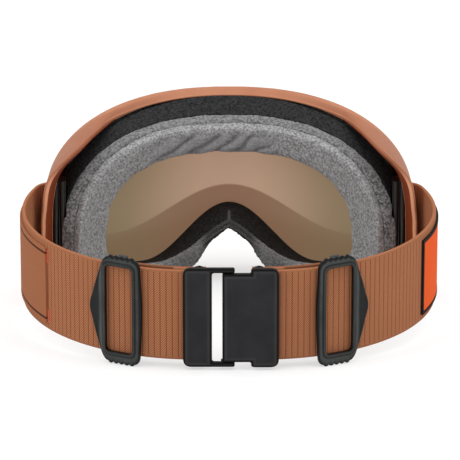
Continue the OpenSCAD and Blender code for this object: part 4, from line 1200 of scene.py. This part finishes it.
def tacks(name, side, places, thread, reach=0.9, radius=0.17, lift=0.16):
    """Short threads along the strap's outer face: each a closed half-sunk spindle of 7 rings of 6
    points about its place (angle, height), whose radius follows the sine of its length."""
    t = np.linspace(0, np.pi, 7)
    ring = np.linspace(0, 2 * np.pi, 6, endpoint=False)
    blocks = []
    for angle, z in places:
        out = np.array([*unit(angle - 90), 0])
        along, up = np.array([-out[1], out[0], 0]), np.array([0, 0, 1])
        centre = [*(LOOP_CENTRE + (LOOP_R + lift) * out[:2]), z]
        points = (centre + along * (reach * np.cos(t))[:, None, None]
                  + (radius * np.maximum(np.sin(t), 0.12))[:, None, None]
                  * (out * np.cos(ring)[:, None] + up * np.sin(ring)[:, None]))
        blocks.append((on_strap(points.reshape(-1, 3)) * [side, 1, 1], tube_faces(7, 6)))
    dress(make(name, *joined(blocks)), thread, "goggles", "patch_orange")


def thread_colour(root):
    """Sewing thread with fine shade along each stitch."""
    return {"Base Color": noise(root, 0.0005, 2).mix(srgb(226, 84, 38), srgb(250, 112, 58))}


orange_thread = finish("orange_thread", thread_colour, lambda r: [(noise(r, 0.0002, 2), 0.00003)],
                       Roughness=0.6, Sheen_Weight=0.2)
tack_heights = np.r_[np.arange(30.5, 36.5, 0.55), np.arange(3.5, 9.5, 0.55)]
tacks("patch_tacks_left", -1, [(56.2 + 0.45 * (i % 2), z) for i, z in enumerate(tack_heights)],
      orange_thread)

# ---------------------------------------------------------------- Table, light and camera
# The goggles stand on a plain white table, lit softly from above and from both sides, and are
# seen from behind the strap, a little from above.


def two_ways(owner, output, rays, lighting, seen):
    """Nodes for the table or the room: the shader lighting for the light it throws on the goggles,
    and the shader seen for what the named rays see of it."""
    owner.use_nodes = True
    tree = owner.node_tree
    tree.nodes.clear()
    root = Wire(tree)
    share = root.node("ShaderNodeLightPath", out=rays[0])
    for ray in rays[1:]:
        share = share.sum("MAXIMUM", root.node("ShaderNodeLightPath", out=ray))
    both = root.node("ShaderNodeMixShader", {}, {0: share, 1: lighting(root), 2: seen(root)})
    tree.links.new(both.socket, tree.nodes.new(output).inputs["Surface"])


def plain(kind, level, **strength):
    """A shader of one level of white, and where it gives light its strength."""
    return lambda root: root.node(kind, {}, {"Color": (level, level, level, 1), **strength})


def paper_glow(root):
    """White paper, half lit and half glowing."""
    return root.node("ShaderNodeMixShader", {}, {
        0: 0.5, 1: plain("ShaderNodeBsdfDiffuse", 0.97)(root),
        2: plain("ShaderNodeEmission", 1, Strength=1.12)(root)})


table = bpy.data.meshes.new("table")
table.from_pydata([(-6, -6, 0), (6, -6, 0), (6, 9, 0), (-6, 9, 0)], [], [(0, 1, 2, 3)])
floor = bpy.data.objects.new("table", table)
bpy.context.scene.collection.objects.link(floor)
white = bpy.data.materials.new("white_table")
two_ways(white, "ShaderNodeOutputMaterial", ("Is Camera Ray", "Is Glossy Ray", "Is Transmission Ray"),
         plain("ShaderNodeBsdfDiffuse", 0.62), paper_glow)
table.materials.append(white)

bpy.context.scene.world = bpy.data.worlds.new("studio")
two_ways(bpy.context.scene.world, "ShaderNodeOutputWorld", ("Is Camera Ray",),
         plain("ShaderNodeBackground", 1, Strength=0.78), plain("ShaderNodeBackground", 1, Strength=1.0))


def aimed(name, data, place, target):
    """Links a light or camera at a place in metres, turned to a target."""
    holder = bpy.data.objects.new(name, data)
    holder.location = place
    holder.rotation_euler = (Vector(target) - Vector(place)).to_track_quat("-Z", "Y").to_euler()
    bpy.context.scene.collection.objects.link(holder)
    return holder


for name, place, size, power in (("top_soft", (0.1, -0.25, 1.3), 1.2, 6),
                                 ("left_soft", (-1.1, -0.7, 0.8), 0.8, 4),
                                 ("right_soft", (1.2, -0.5, 0.9), 0.8, 3.2)):
    lamp = bpy.data.lights.new(name, "AREA")
    lamp.shape, lamp.size, lamp.energy = "SQUARE", size, power
    aimed(name, lamp, place, (0, 0, 0.04))

FOCAL_PIXELS, PHOTO_PIXELS = 4343, 460
camera = bpy.data.cameras.new("camera")
camera.sensor_fit, camera.sensor_width, camera.clip_end = "HORIZONTAL", 36, 30
camera.lens = FOCAL_PIXELS / PHOTO_PIXELS * camera.sensor_width
aim, distance, tip = Vector((0.0004, -0.0786, 0.0599)), 1.8, math.radians(14.8)
away = Vector((0, -math.cos(tip), math.sin(tip)))
bpy.context.scene.camera = aimed("camera", camera, aim + distance * away, aim)
bpy.context.scene.view_settings.view_transform = "Standard"
